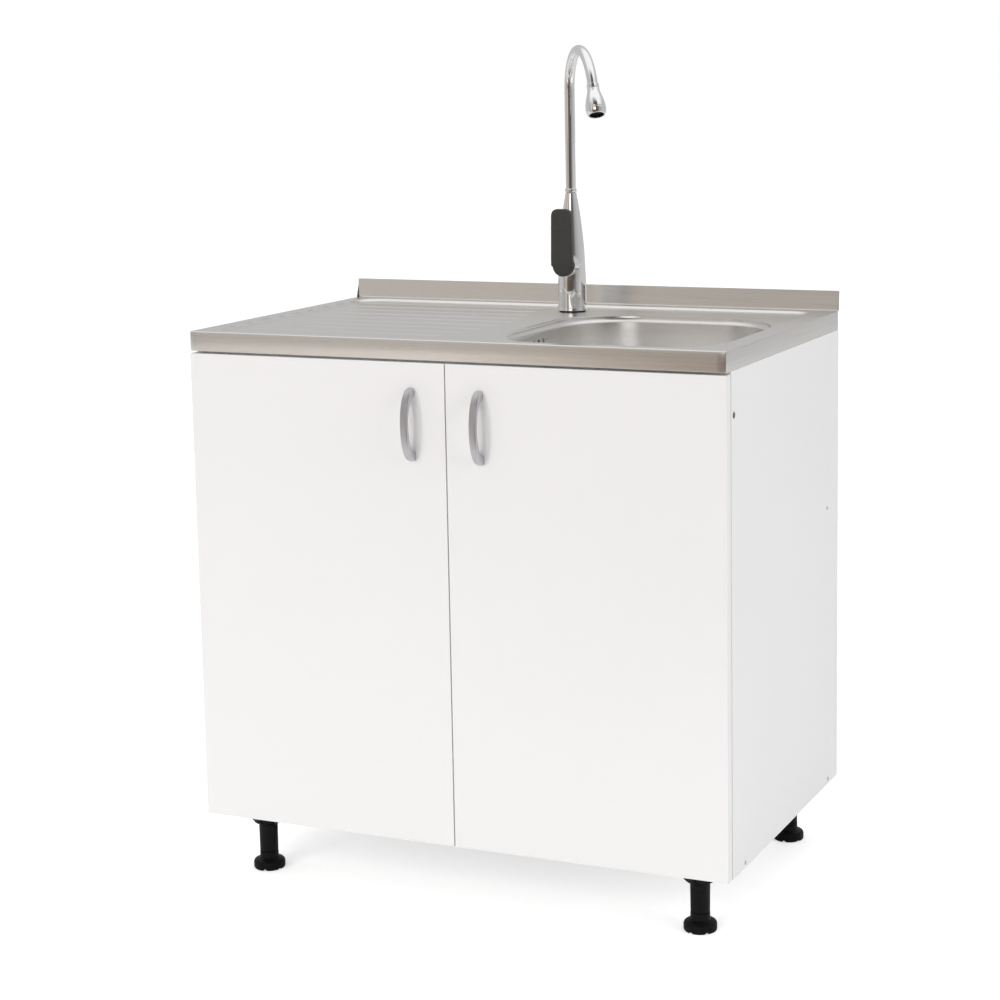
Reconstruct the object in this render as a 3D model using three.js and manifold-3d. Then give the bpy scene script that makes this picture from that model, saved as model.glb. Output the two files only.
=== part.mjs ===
// Two-door sink unit: a stainless lay-on sink with a drainer, a tall single-lever mixer tap,
// a bottle trap, and a white cabinet on four screw feet. Millimetres, +Z up, doors towards -Y.
// The origin is on the floor, under the middle of the whole unit.
import * as THREE from 'three';
import { mergeVertices } from 'three/addons/utils/BufferGeometryUtils.js';
import Module from 'manifold-3d';

const wasm = await Module();
wasm.setup();

// ---------- driving dimensions ----------

const WIDTH = 800; // cabinet and sink, left to right
const DEPTH = 500; // sink, front apron to rear skirt
const HEIGHT = 800; // floor to the sink's raised border
const HANDLE_REACH = 25; // how far a handle stands in front of the doors
const HANDLE = { x: 51.3, z: 684.3, half: 50.3, foot: 13, width: 11, thick: 6, edge: 1.5 };
const UPSTAND_LEAN = 4; // how far the splash upstand leans back
const TOTAL_DEPTH = HANDLE_REACH + DEPTH + UPSTAND_LEAN;

const FRONT = -TOTAL_DEPTH / 2 + HANDLE_REACH; // front plane of the doors and of the apron
const REAR = FRONT + DEPTH;

const SHEET = 1.2; // sink steel
const APRON = 28; // height of the sink's folded edge
const UPSTAND = 29; // splash upstand above the border
const RECESS = 3.5; // the pressed inner deck lies this far below the border
const BOARD = 16; // cabinet panels and doors

const CABINET_BOTTOM = 93.5;
const CABINET_TOP = HEIGHT - APRON;
const DOOR_GAP = 1.5; // between a closed door and the carcass
const SIDE_FRONT = FRONT + BOARD + DOOR_GAP; // front edges of the carcass
const INNER_X = WIDTH / 2 - BOARD; // inner faces of the side panels
const DOOR_REAR = FRONT + BOARD;
const DOOR = {
  outer: WIDTH / 2 - 0.5, inner: 0.9, bottom: CABINET_BOTTOM + 1, top: CABINET_TOP - 3.5,
};

const RAIL = { front: 90, rearTop: 100, rearMiddle: { inset: 48, bottom: 465, top: 565 } };

const DECK = { left: -372, right: 370, front: FRONT + 22, rear: REAR - 25, corner: 30 };
const BOWL = { x: 203, y: -34.5, halfWidth: 160, halfDepth: 175, corner: 100, depth: 150 };
const BOWL_FLOOR = HEIGHT - RECESS - BOWL.depth;

const TAP = { x: 9, y: 180, z: HEIGHT - RECESS, height: 395.5, hole: 17.5 };
const LEVER = { height: 71.5, sleeve: 17.5, mouth: -29, back: -12, face: -31.4, boss: 17, top: 83.1 };
const SPOUT = { heading: -52.5, radius: 7.5, bore: 6.2, rise: 56, fall: 86, drop: 65 };

const LEG = { x: 337, front: FRONT + 64, rear: REAR - 44 };
const FOOT = { radius: 23, notches: 6, stem: 8.6, stemTop: 68 };

const ROUND = 24; // sides of the larger turned pieces
const SMALL_ROUND = 16;

// ---------- geometry helpers ----------

const deg = THREE.MathUtils.degToRad;

/** A closed geometry as a solid that can be cut and joined. */
function solid(geometry) {
  const bare = geometry.clone();
  bare.deleteAttribute('normal');
  bare.deleteAttribute('uv');
  const merged = mergeVertices(bare, 1e-4);
  return new wasm.Manifold(new wasm.Mesh({
    numProp: 3,
    vertProperties: merged.attributes.position.array,
    triVerts: new Uint32Array(merged.index.array),
  }));
}

/** The geometry of a solid. */
function geometryOf(manifold) {
  const mesh = manifold.getMesh();
  const geometry = new THREE.BufferGeometry();
  geometry.setAttribute('position', new THREE.BufferAttribute(mesh.vertProperties, 3));
  geometry.setIndex(new THREE.BufferAttribute(mesh.triVerts, 1));
  geometry.computeVertexNormals();
  return geometry;
}

/** First geometry joined with the others. */
function join(first, ...others) {
  return geometryOf(others.reduce((sum, other) => sum.add(solid(other)), solid(first)));
}

/** First geometry with the others cut away. */
function cut(first, ...others) {
  return geometryOf(others.reduce((sum, other) => sum.subtract(solid(other)), solid(first)));
}

/** A box given by its lowest and highest corners. */
function block(x0, y0, z0, x1, y1, z1) {
  return new THREE.BoxGeometry(x1 - x0, y1 - y0, z1 - z0)
    .translate((x0 + x1) / 2, (y0 + y1) / 2, (z0 + z1) / 2);
}

/** A piece turned about Z from [radius, z] points, given in either direction. A profile that
    doesn't reach the axis is closed into a ring. */
function turned(profile, sides = ROUND) {
  const ring = profile[0][0] > 0 || profile.at(-1)[0] > 0;
  const loop = ring ? [...profile, profile[0]] : profile;
  const area = loop.reduce((sum, [r, z], i) => {
    const [nextR, nextZ] = loop[(i + 1) % loop.length];
    return sum + r * nextZ - nextR * z;
  }, 0);
  const ordered = area > 0 ? loop : [...loop].reverse();
  const points = ordered.map(([r, z]) => new THREE.Vector2(r, z));
  return new THREE.LatheGeometry(points, sides).rotateX(Math.PI / 2);
}

/** A straight rod from one point to another. */
function rod(from, to, radius, sides = SMALL_ROUND) {
  const start = new THREE.Vector3(...from);
  const along = new THREE.Vector3(...to).sub(start);
  const turn = new THREE.Quaternion()
    .setFromUnitVectors(new THREE.Vector3(0, 1, 0), along.clone().normalize());
  return new THREE.CylinderGeometry(radius, radius, along.length(), sides)
    .translate(0, along.length() / 2, 0)
    .applyQuaternion(turn)
    .translate(...start.toArray());
}

/** The corner points of a rounded rectangle, the same number whatever its size. */
function roundedOutline(halfWidth, halfDepth, corner, steps = 6) {
  const points = [];
  for (let quarter = 0; quarter < 4; quarter++) {
    const side = Math.sign(Math.cos(deg(45 + quarter * 90)));
    const end = Math.sign(Math.sin(deg(45 + quarter * 90)));
    for (let i = 0; i <= steps; i++) {
      const angle = deg(quarter * 90 + (i / steps) * 90);
      points.push(new THREE.Vector2(
        side * (halfWidth - corner) + corner * Math.cos(angle),
        end * (halfDepth - corner) + corner * Math.sin(angle),
      ));
    }
  }
  return points;
}

/** A rounded rectangle standing between two heights. */
function roundedBlock(x, y, halfWidth, halfDepth, corner, z0, z1) {
  const shape = new THREE.Shape(roundedOutline(halfWidth, halfDepth, corner));
  return new THREE.ExtrudeGeometry(shape, { depth: z1 - z0, bevelEnabled: false })
    .translate(x, y, z0);
}

/** A closed skin through a loop of rings that all have the same number of points. */
function loft(rings) {
  const count = rings[0].length;
  const positions = rings.flat().flatMap((p) => p.toArray());
  const index = [];
  rings.forEach((_, r) => {
    const next = (r + 1) % rings.length;
    for (let i = 0; i < count; i++) {
      const j = (i + 1) % count;
      index.push(r * count + i, r * count + j, next * count + i);
      index.push(r * count + j, next * count + j, next * count + i);
    }
  });
  const geometry = new THREE.BufferGeometry();
  geometry.setAttribute('position', new THREE.Float32BufferAttribute(positions, 3));
  geometry.setIndex(index);
  return geometry;
}

/** A hollow or solid tube of round section along a curve. */
function tube(curve, radius, bore, steps, sides = 12) {
  const section = new THREE.Shape(new THREE.EllipseCurve(0, 0, radius, radius).getPoints(sides));
  if (bore) {
    section.holes.push(new THREE.Path(new THREE.EllipseCurve(0, 0, bore, bore).getPoints(sides)));
  }
  return new THREE.ExtrudeGeometry(section, { steps, extrudePath: curve, curveSegments: sides });
}

// ---------- materials ----------

const finish = (color, roughness, metalness) => (
  new THREE.MeshStandardMaterial({ color, roughness, metalness })
);

const STEEL = finish(0xc8c4be, 0.35, 1);
const CHROME = finish(0xe2e4e6, 0.08, 1);
const SATIN_CHROME = finish(0xb9bbbe, 0.3, 1);
const ZINC = finish(0xa9abad, 0.4, 1);
const CHARCOAL = finish(0x3b3b3a, 0.55, 0);
const WHITE_BOARD = finish(0xf3f3f1, 0.45, 0);
const WHITE_PLASTIC = finish(0xe9e9e6, 0.4, 0);
const BLACK_PLASTIC = finish(0x1b1b1c, 0.5, 0);
const RUBBER = finish(0x151515, 0.8, 0);

const unit = new THREE.Group();

function add(parent, name, geometry, material) {
  const mesh = new THREE.Mesh(geometry, material);
  mesh.name = name;
  parent.add(mesh);
  return mesh;
}

// ---------- sink ----------

/** The pressed top: border, apron on all sides, recessed deck, drainer ribs and upstand. */
function sinkTop() {
  const half = WIDTH / 2;
  const middle = { x: (DECK.left + DECK.right) / 2, y: (DECK.front + DECK.rear) / 2 };
  const deckHalf = { x: (DECK.right - DECK.left) / 2, y: (DECK.rear - DECK.front) / 2 };
  const deckZ = HEIGHT - RECESS;
  const shell = cut(
    block(-half, FRONT, HEIGHT - APRON, half, REAR, HEIGHT),
    block(
      -half + SHEET, FRONT + SHEET, HEIGHT - APRON - 1, half - SHEET, REAR - SHEET, HEIGHT - SHEET,
    ),
  );
  const tray = roundedBlock(
    middle.x, middle.y, deckHalf.x + SHEET, deckHalf.y + SHEET, DECK.corner + SHEET,
    deckZ - SHEET, HEIGHT - SHEET / 2,
  );
  const pressed = roundedBlock(
    middle.x, middle.y, deckHalf.x, deckHalf.y, DECK.corner, deckZ, HEIGHT + 1,
  );
  const lean = new THREE.Shape([
    new THREE.Vector2(REAR - SHEET, HEIGHT - SHEET),
    new THREE.Vector2(REAR, HEIGHT - SHEET),
    new THREE.Vector2(REAR + UPSTAND_LEAN, HEIGHT + UPSTAND),
    new THREE.Vector2(REAR + UPSTAND_LEAN - SHEET, HEIGHT + UPSTAND),
  ]);
  const upstand = new THREE.ExtrudeGeometry(lean, { depth: WIDTH, bevelEnabled: false })
    .rotateX(Math.PI / 2)
    .rotateZ(Math.PI / 2)
    .translate(-half, 0, 0);
  const bowlMouth = roundedBlock(
    BOWL.x, BOWL.y, BOWL.halfWidth, BOWL.halfDepth, BOWL.corner, deckZ - 5, HEIGHT,
  );
  const tapHole = new THREE.CylinderGeometry(TAP.hole, TAP.hole, 10, SMALL_ROUND)
    .rotateX(Math.PI / 2)
    .translate(TAP.x, TAP.y, deckZ);
  const plate = cut(join(shell, tray, upstand), pressed, bowlMouth, tapHole);
  return join(plate, ...drainerRibs(deckZ));
}

/** Low raised ribs that run across the drainer. */
function drainerRibs(deckZ) {
  const rib = { count: 9, height: 2, width: 9, left: -352, first: FRONT + 78, pitch: 45 };
  return Array.from({ length: rib.count }, (_, i) => {
    const y = rib.first + i * rib.pitch;
    const right = -18 - 8 * Math.abs(i - 3.5);
    const section = new THREE.Shape([
      new THREE.Vector2(-rib.width / 2, -SHEET / 2),
      new THREE.Vector2(rib.width / 2, -SHEET / 2),
      new THREE.Vector2(rib.width / 4, rib.height),
      new THREE.Vector2(-rib.width / 4, rib.height),
    ]);
    return new THREE.ExtrudeGeometry(section, { depth: right - rib.left, bevelEnabled: false })
      .rotateX(Math.PI / 2)
      .rotateZ(Math.PI / 2)
      .translate(rib.left, y, deckZ);
  });
}

/** The pressed bowl, hung from a flange under the deck, with its drain hole and overflow slots. */
function bowl() {
  const under = HEIGHT - RECESS - SHEET;
  const ring = (inset, corner, z) => roundedOutline(
    BOWL.halfWidth - inset, BOWL.halfDepth - inset, corner,
  ).map((p) => new THREE.Vector3(BOWL.x + p.x, BOWL.y + p.y, z));
  const circle = (radius, z) => roundedOutline(radius, radius, radius - 0.5)
    .map((p) => new THREE.Vector3(BOWL.x + p.x, BOWL.y + p.y, z));
  const inside = [
    ring(1, 99, under),
    ring(6, 95, under - 12),
    ring(15, 86, BOWL_FLOOR + 30),
    ring(24, 78, BOWL_FLOOR + 12),
    ring(42, 66, BOWL_FLOOR + 3),
    circle(66, BOWL_FLOOR),
    circle(46, BOWL_FLOOR),
  ];
  const outside = [
    circle(46, BOWL_FLOOR - SHEET),
    circle(66, BOWL_FLOOR - SHEET),
    ring(42 - SHEET, 66, BOWL_FLOOR + 3 - SHEET),
    ring(24 - SHEET, 78, BOWL_FLOOR + 12 - SHEET / 2),
    ring(15 - SHEET, 86, BOWL_FLOOR + 30),
    ring(6 - SHEET, 95, under - 12),
    ring(1 - SHEET, 100, under - SHEET),
    ring(-9, 109, under - SHEET),
    ring(-9, 109, under),
  ];
  const skin = loft([...inside, ...outside]);
  const slots = overflowSlots().map(({ y, z0, z1 }) => (
    block(BOWL.x - BOWL.halfWidth - 5, y - 3.5, z0, BOWL.x - BOWL.halfWidth + 30, y + 3.5, z1)
  ));
  return cut(skin, ...slots);
}

/** Where the four upright slots in the bowl's left wall are. */
function overflowSlots() {
  return [-75, -59, -43, -27].map((y) => ({ y, z0: HEIGHT - 36, z1: HEIGHT - 19.5 }));
}

function addSink() {
  add(unit, 'sink_top', sinkTop(), STEEL);
  add(unit, 'bowl', bowl(), STEEL);

  // Overflow: a plastic housing behind the slots, and a hose round the bowl to the drain.
  const box = { x0: BOWL.x - BOWL.halfWidth - 18, x1: BOWL.x - BOWL.halfWidth + 4.4 };
  const housing = cut(
    block(box.x0, -84, HEIGHT - 44, box.x1, -18, HEIGHT - 17),
    block(box.x0 + 2, -81, HEIGHT - 41, box.x1 + 1, -21, HEIGHT - 19),
  );
  add(unit, 'overflow_housing', housing, WHITE_PLASTIC);

  const hosePath = new THREE.CatmullRomCurve3([
    new THREE.Vector3(33, -51, HEIGHT - 44.3),
    new THREE.Vector3(33, -50, 700),
    new THREE.Vector3(38, -46, 645),
    new THREE.Vector3(70, -38, 606),
    new THREE.Vector3(110, -34.8, 584),
    new THREE.Vector3(140, -34.5, 578.4),
    new THREE.Vector3(BOWL.x - 36.5, BOWL.y, 578),
  ]);
  add(unit, 'overflow_hose', tube(hosePath, 9, 7, 22, 8), WHITE_PLASTIC);
}

// ---------- drain and trap ----------

function addDrain() {
  const drain = new THREE.Group();
  drain.position.set(BOWL.x, BOWL.y, 0);
  unit.add(drain);
  const floor = BOWL_FLOOR;

  add(drain, 'drain_cup', turned([
    [20, floor - 44], [20, floor - 36.4], [44, floor - 34], [44, floor],
    [56, floor], [56, floor + 1.2], [53, floor + 2.4], [43, floor + 0.6],
    [42.6, floor - 32.6], [17.6, floor - 35], [17.6, floor - 44],
  ]), STEEL);

  add(drain, 'drain_seal', turned([
    [46, floor - 4], [57, floor - 4], [57, floor - SHEET], [46, floor - SHEET],
  ]), RUBBER);

  add(drain, 'drain_lock_nut', turned([
    [44.4, floor - 16], [50, floor - 16], [52, floor - 9], [60, floor - 9],
    [60, floor - 4], [44.4, floor - 4],
  ]), WHITE_PLASTIC);

  const basketBowl = turned([
    [0, floor - 31.6], [28, floor - 31.6], [38, floor - 22], [40.5, floor + 1.4],
    [42, floor + 3], [40, floor + 3.6], [38.6, floor + 1.6], [36.4, floor - 21],
    [27, floor - 30.2], [5, floor - 30.2], [4, floor - 4], [8, floor + 1], [8, floor + 4],
    [0, floor + 5],
  ]);
  const holes = Array.from({ length: 6 }, (_, i) => (
    new THREE.CylinderGeometry(3, 3, 8, 6)
      .rotateX(Math.PI / 2)
      .translate(19, 0, floor - 31)
      .rotateZ(deg(i * 60))
  ));
  add(drain, 'strainer_basket', cut(basketBowl, ...holes), STEEL);

  const tee = join(
    turned([[17, floor - 100], [20, floor - 100], [20, floor - 58], [24, floor - 52],
      [24, floor - 44.3], [17, floor - 44.3]]),
    rod([-36, 0, floor - 68.5], [-10, 0, floor - 68.5], 9),
  );
  const passages = [
    rod([-37, 0, floor - 68.5], [0, 0, floor - 68.5], 6.5),
    new THREE.CylinderGeometry(17, 17, 70, ROUND).rotateX(Math.PI / 2).translate(0, 0, floor - 72),
  ];
  add(drain, 'drain_tailpiece', cut(tee, ...passages), WHITE_PLASTIC);

  add(drain, 'tailpiece_nut', turned([
    [20.4, floor - 36.8], [29, floor - 36.8], [29, floor - 55], [24.4, floor - 55],
    [24.4, floor - 44], [20.4, floor - 44],
  ]), WHITE_PLASTIC);

  // Bottle trap: a body with an outlet to the rear, a dip tube, and a cup that screws off.
  const trapTop = floor - 92;
  const outletZ = trapTop - 38;
  const trapBody = join(
    turned([[20.4, trapTop], [25, trapTop], [25, trapTop - 14], [32, trapTop - 22],
      [32, trapTop - 66], [28.6, trapTop - 66], [28.6, trapTop - 24], [20.4, trapTop - 16]]),
    rod([0, 29, outletZ], [0, 62, outletZ], 20),
  );
  const trapBore = rod([0, 20, outletZ], [0, 63, outletZ], 16.6);
  add(drain, 'trap_body', cut(trapBody, trapBore), WHITE_PLASTIC);

  add(drain, 'dip_tube', turned([
    [15, trapTop - 96], [16.8, trapTop - 96], [16.8, trapTop - 8.3], [15, trapTop - 8.3],
  ]), WHITE_PLASTIC);

  add(drain, 'trap_cup', turned([
    [0, trapTop - 118], [30, trapTop - 118], [36, trapTop - 108], [36, trapTop - 60],
    [32.4, trapTop - 60], [32.4, trapTop - 66.4], [30, trapTop - 70], [30, trapTop - 106],
    [26, trapTop - 112], [0, trapTop - 112],
  ]), WHITE_PLASTIC);

  const outlet = new THREE.LineCurve3(
    new THREE.Vector3(0, 46, outletZ), new THREE.Vector3(0, 190, outletZ),
  );
  add(drain, 'waste_pipe', tube(outlet, 16.2, 13.8, 2, SMALL_ROUND), WHITE_PLASTIC);

  add(drain, 'outlet_nut', turned([
    [20.4, 50], [25, 50], [25, 72], [16.6, 72], [16.6, 62.4], [20.4, 62.4],
  ]).rotateX(-Math.PI / 2).translate(0, 0, outletZ), WHITE_PLASTIC);
}

// ---------- mixer tap ----------

/** Centre line of the spout, from the top of the tap's body to the nozzle. */
function spoutPath(foot, top, insert) {
  const point = (s, z) => new THREE.Vector3(s, 0, z);
  const riseStart = top - SPOUT.rise;
  const fallCentre = top - SPOUT.fall;
  const riseArc = Array.from({ length: 9 }, (_, i) => {
    const a = deg(180 - (i * 90) / 8);
    return point(SPOUT.rise + SPOUT.rise * Math.cos(a), riseStart + SPOUT.rise * Math.sin(a));
  });
  const fallArc = Array.from({ length: 9 }, (_, i) => {
    const a = deg(90 - (i * SPOUT.drop) / 8);
    return point(SPOUT.rise + SPOUT.fall * Math.cos(a), fallCentre + SPOUT.fall * Math.sin(a));
  });
  const last = fallArc.at(-1);
  const drop = deg(SPOUT.drop);
  const tip = point(last.x + insert * Math.cos(drop), last.z - insert * Math.sin(drop));
  const points = [
    point(0, foot), point(0, (foot + riseStart) / 2), ...riseArc, ...fallArc.slice(1), tip,
  ];
  return new THREE.CatmullRomCurve3(points, false, 'centripetal');
}

function addTap() {
  const tap = new THREE.Group();
  tap.position.set(TAP.x, TAP.y, TAP.z);
  unit.add(tap);

  const seat = 2; // thickness of the seal under the body
  const bodyTop = 178;
  add(tap, 'tap_seal', turned([[15.2, 0], [22.3, 0], [22.3, seat], [15.2, seat]]), RUBBER);

  // Lever housing: a short sleeve that points to the front, with the cartridge inside it.
  const axis = LEVER.height;
  const bodyShape = turned([
    [15, seat], [21.8, seat], [21.4, 40], [20.6, 60], [19, 92], [16.8, 118], [13.9, 143],
    [11, 162], [8.6, bodyTop - 4], [8.2, bodyTop], [6.4, bodyTop], [6.4, 70], [15, 50],
  ]);
  const sleeveOuter = rod([0, 0, axis], [0, LEVER.mouth, axis], LEVER.sleeve, ROUND);
  const bodyCore = turned([
    [0, seat - 1], [15, seat - 1], [15, 50], [6.4, 70], [6.4, bodyTop + 1], [0, bodyTop + 1],
  ]);
  const sleeveBore = rod([0, LEVER.back, axis], [0, LEVER.mouth - 1, axis], 14.4, ROUND);
  add(tap, 'tap_body', cut(join(bodyShape, sleeveOuter), bodyCore, sleeveBore), CHROME);

  // The cartridge has a pocket in its front, so that the lever's stem can tilt.
  const cartridgeFront = LEVER.mouth + 3;
  add(tap, 'cartridge', cut(
    rod([0, LEVER.back - 0.3, axis], [0, cartridgeFront, axis], 14, ROUND),
    rod([0, cartridgeFront + 4.5, axis], [0, cartridgeFront - 1, axis], 8),
  ), WHITE_PLASTIC);
  add(tap, 'cartridge_collar', cut(
    rod([0, cartridgeFront - 0.3, axis], [0, cartridgeFront - 2.3, axis], 13.8, ROUND),
    rod([0, cartridgeFront, axis], [0, cartridgeFront - 3, axis], 7.5),
  ), ZINC);
  const stemTip = LEVER.face - 2.3;
  add(tap, 'lever_stem', rod([0, cartridgeFront, axis], [0, stemTip, axis], 3.5), SATIN_CHROME);

  // The lever: a flat paddle with rounded top corners, on a boss that closes the sleeve's mouth.
  // Below the boss' middle its front slopes back to the sleeve.
  const paddle = new THREE.Shape();
  const corner = { x: 15, flat: 5, drop: 10.5 };
  paddle.moveTo(-LEVER.boss, 0);
  paddle.lineTo(LEVER.boss, 0);
  paddle.lineTo(corner.x, LEVER.top - corner.drop);
  paddle.quadraticCurveTo(corner.x, LEVER.top, corner.flat, LEVER.top);
  paddle.lineTo(-corner.flat, LEVER.top);
  paddle.quadraticCurveTo(-corner.x, LEVER.top, -corner.x, LEVER.top - corner.drop);
  paddle.lineTo(-LEVER.boss, 0);
  const plate = new THREE.ExtrudeGeometry(paddle, {
    depth: 6, bevelEnabled: true, bevelSize: 1.2, bevelThickness: 1, bevelSegments: 2,
    curveSegments: 10,
  }).rotateX(Math.PI / 2).translate(0, LEVER.face - 2, axis);
  const boss = rod([0, LEVER.face, axis], [0, LEVER.face - 5.6, axis], LEVER.boss, ROUND);
  const socket = rod([0, LEVER.face + 0.4, axis], [0, stemTip - 0.3, axis], 3.8);
  const slope = new THREE.ExtrudeGeometry(new THREE.Shape([
    new THREE.Vector2(-44, 4), new THREE.Vector2(-44, -20), new THREE.Vector2(-32.6, -20),
  ]), { depth: 60, bevelEnabled: false })
    .rotateX(Math.PI / 2)
    .rotateZ(Math.PI / 2)
    .translate(-30, 0, axis);
  add(tap, 'lever', cut(join(plate, boss), socket, slope), CHARCOAL);

  const spout = new THREE.Group();
  spout.rotation.z = deg(SPOUT.heading);
  tap.add(spout);
  const top = TAP.height - SPOUT.radius;
  const end = {
    s: SPOUT.rise + SPOUT.fall * Math.sin(deg(SPOUT.drop)),
    z: top - SPOUT.fall + SPOUT.fall * Math.cos(deg(SPOUT.drop)),
  };
  add(spout, 'spout_collar', turned([
    [7.7, bodyTop + 0.4], [8.4, bodyTop + 0.4], [8.8, bodyTop + 2], [8.4, bodyTop + 6],
    [7.7, bodyTop + 6],
  ]), CHROME);
  const spoutTube = tube(spoutPath(bodyTop + 0.4, top, 8), SPOUT.radius, SPOUT.bore, 32);
  add(spout, 'spout', spoutTube, CHROME);

  // The nozzle hangs from the spout's end, along its last direction.
  const nozzle = new THREE.Group();
  nozzle.position.set(end.s, 0, end.z);
  nozzle.rotation.y = deg(90 + SPOUT.drop);
  spout.add(nozzle);
  add(nozzle, 'nozzle', turned([
    [8.8, 0], [8.9, 8], [11.2, 18], [13.8, 28], [14.8, 36], [14.2, 42], [11.6, 47.5],
    [10.6, 47.5], [10.6, 35.6], [7.9, 22], [7.9, 0],
  ]), CHROME);
  add(nozzle, 'aerator', turned([
    [0, 36], [10.2, 36], [10.2, 47], [8.6, 47], [8.6, 44.6], [0, 44.6],
  ], SMALL_ROUND), BLACK_PLASTIC);

  // Under the deck: a hollow threaded stud, a clamp washer, its nut, and the two supply tails.
  const under = -SHEET;
  add(tap, 'tap_stud', turned([[9.6, -46], [14.6, -46], [14.6, 14], [9.6, 14]]), ZINC);
  add(tap, 'tap_washer', turned([
    [15.2, under - 3.2], [26, under - 3.2], [26, under - 0.1], [15.2, under - 0.1],
  ], SMALL_ROUND), BLACK_PLASTIC);
  add(tap, 'tap_nut', cut(
    rod([0, 0, under - 14], [0, 0, under - 3.4], 22, 6),
    rod([0, 0, under - 15], [0, 0, under], 15.2, ROUND),
  ), ZINC);
  for (const [name, side] of [['hot_inlet', -1], ['cold_inlet', 1]]) {
    const tail = join(
      rod([side * 4.6, 0, -92], [side * 4.6, 0, 30], 4),
      rod([side * 4.6, 0, -92], [side * 4.6, 0, -78], 4.5, 6),
    );
    add(tap, name, tail, SATIN_CHROME);
  }
}

// ---------- cabinet ----------

function addCabinet() {
  const top = CABINET_TOP;
  add(unit, 'left_side',
    block(-WIDTH / 2, SIDE_FRONT, CABINET_BOTTOM, -INNER_X, REAR, top), WHITE_BOARD);
  add(unit, 'right_side',
    block(INNER_X, SIDE_FRONT, CABINET_BOTTOM, WIDTH / 2, REAR, top), WHITE_BOARD);
  add(unit, 'bottom_panel',
    block(-INNER_X, SIDE_FRONT, CABINET_BOTTOM, INNER_X, REAR, CABINET_BOTTOM + BOARD),
    WHITE_BOARD);

  // Three rails tie the sides together: one above the doors' upper hinges, two at the rear.
  const { front, rearTop, rearMiddle } = RAIL;
  add(unit, 'front_rail',
    block(-INNER_X, SIDE_FRONT, top - front, INNER_X, SIDE_FRONT + BOARD, top), WHITE_BOARD);
  add(unit, 'rear_top_rail',
    block(-INNER_X, REAR - BOARD, top - rearTop, INNER_X, REAR, top), WHITE_BOARD);
  const middleBack = REAR - rearMiddle.inset;
  add(unit, 'rear_middle_rail',
    block(
      -INNER_X, middleBack - BOARD, rearMiddle.bottom, INNER_X, middleBack, rearMiddle.top,
    ), WHITE_BOARD);
}

// Places of the cup hinges, measured from a closed door's outer rear corner: X towards the
// unit's middle, Y from the carcass' front edge to the rear.
const HINGE = {
  heights: [190, 645],
  cup: { inset: 21.5, radius: 17.3, depth: 12.4 },
  armPivot: { inset: 25.5, y: 4 },
  doorPivot: { inset: 7.4, y: -6.9 },
  elbow: { inset: 13.3, y: -11.1 },
  link: { halfHeight: 4, halfThick: 1, armEye: 2.6, doorEye: 1.4 },
};

/** A door panel for side -1 (left) or 1 (right), with its hinge cup holes bored in its rear face. */
function doorPanel(side) {
  const xs = [side * DOOR.inner, side * DOOR.outer].sort((a, b) => a - b);
  const panel = block(xs[0], FRONT, DOOR.bottom, xs[1], DOOR_REAR, DOOR.top);
  const cupX = side * (DOOR.outer - HINGE.cup.inset);
  const holes = HINGE.heights.map((z) => (
    rod([cupX, DOOR_REAR + 1, z], [cupX, DOOR_REAR - HINGE.cup.depth - 0.2, z],
      HINGE.cup.radius + 0.3, ROUND)
  ));
  return cut(panel, ...holes);
}

/** A pressed steel cup with a flange that screws to the door's rear face. */
function hingeCup(side, z) {
  const x = side * (DOOR.outer - HINGE.cup.inset);
  const { radius, depth } = HINGE.cup;
  const flange = block(x - 15, DOOR_REAR + 0.05, z - 27, x + 15, DOOR_REAR + 0.95, z + 27);
  const cup = rod([x, DOOR_REAR + 0.5, z], [x, DOOR_REAR - depth, z], radius, 24);
  const hollow = rod([x, DOOR_REAR + 2, z], [x, DOOR_REAR - depth + 0.9, z], radius - 0.9, 24);
  return cut(join(cup, flange), hollow);
}

/** The link that swings between the arm's pivot and the door's: a strip bent at an elbow that
    clears the door's rear edge when the door stands open. */
function hingeLink(side, z) {
  const { halfHeight, halfThick, armEye, doorEye } = HINGE.link;
  const arm = new THREE.Vector2(-HINGE.armPivot.inset, HINGE.armPivot.y);
  const elbow = new THREE.Vector2(-HINGE.elbow.inset, HINGE.elbow.y);
  const door = new THREE.Vector2(-HINGE.doorPivot.inset, HINGE.doorPivot.y);
  const strip = (from, to) => {
    const along = to.clone().sub(from);
    const length = along.length() + halfThick;
    return new THREE.BoxGeometry(length, 2 * halfThick, 2 * halfHeight)
      .translate(length / 2, 0, 0)
      .rotateZ(along.angle())
      .translate(from.x, from.y, 0);
  };
  const eye = (at, radius) => rod([at.x, at.y, -halfHeight], [at.x, at.y, halfHeight], radius, 12);
  const link = join(strip(arm, elbow), strip(door, elbow), eye(arm, armEye), eye(door, doorEye))
    .translate(DOOR.outer, SIDE_FRONT, z);
  return side > 0 ? link : mirrored(link);
}

/** A geometry mirrored from right to left. */
function mirrored(geometry) {
  const flipped = geometry.clone().scale(-1, 1, 1);
  const index = flipped.index.array;
  for (let i = 0; i < index.length; i += 3) {
    [index[i + 1], index[i + 2]] = [index[i + 2], index[i + 1]];
  }
  return flipped;
}

/** The arm on the side panel: a plate, and a channel whose front end holds the link's pivot. */
function hingeArm(side, z) {
  const x = DOOR.outer - HINGE.armPivot.inset;
  const y = SIDE_FRONT + HINGE.armPivot.y;
  const base = block(INNER_X - 3, y + 16, z - 24, INNER_X, y + 52, z + 24);
  const channel = block(x - 5, y - 3.4, z - 6.4, INNER_X - 2.5, y + 66, z + 6.4);
  const mouth = block(x - 9, y - 5, z - 4.3, INNER_X - 0.5, y + 9, z + 4.3);
  const arm = cut(join(base, channel), mouth);
  return side > 0 ? arm : mirrored(arm);
}

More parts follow.
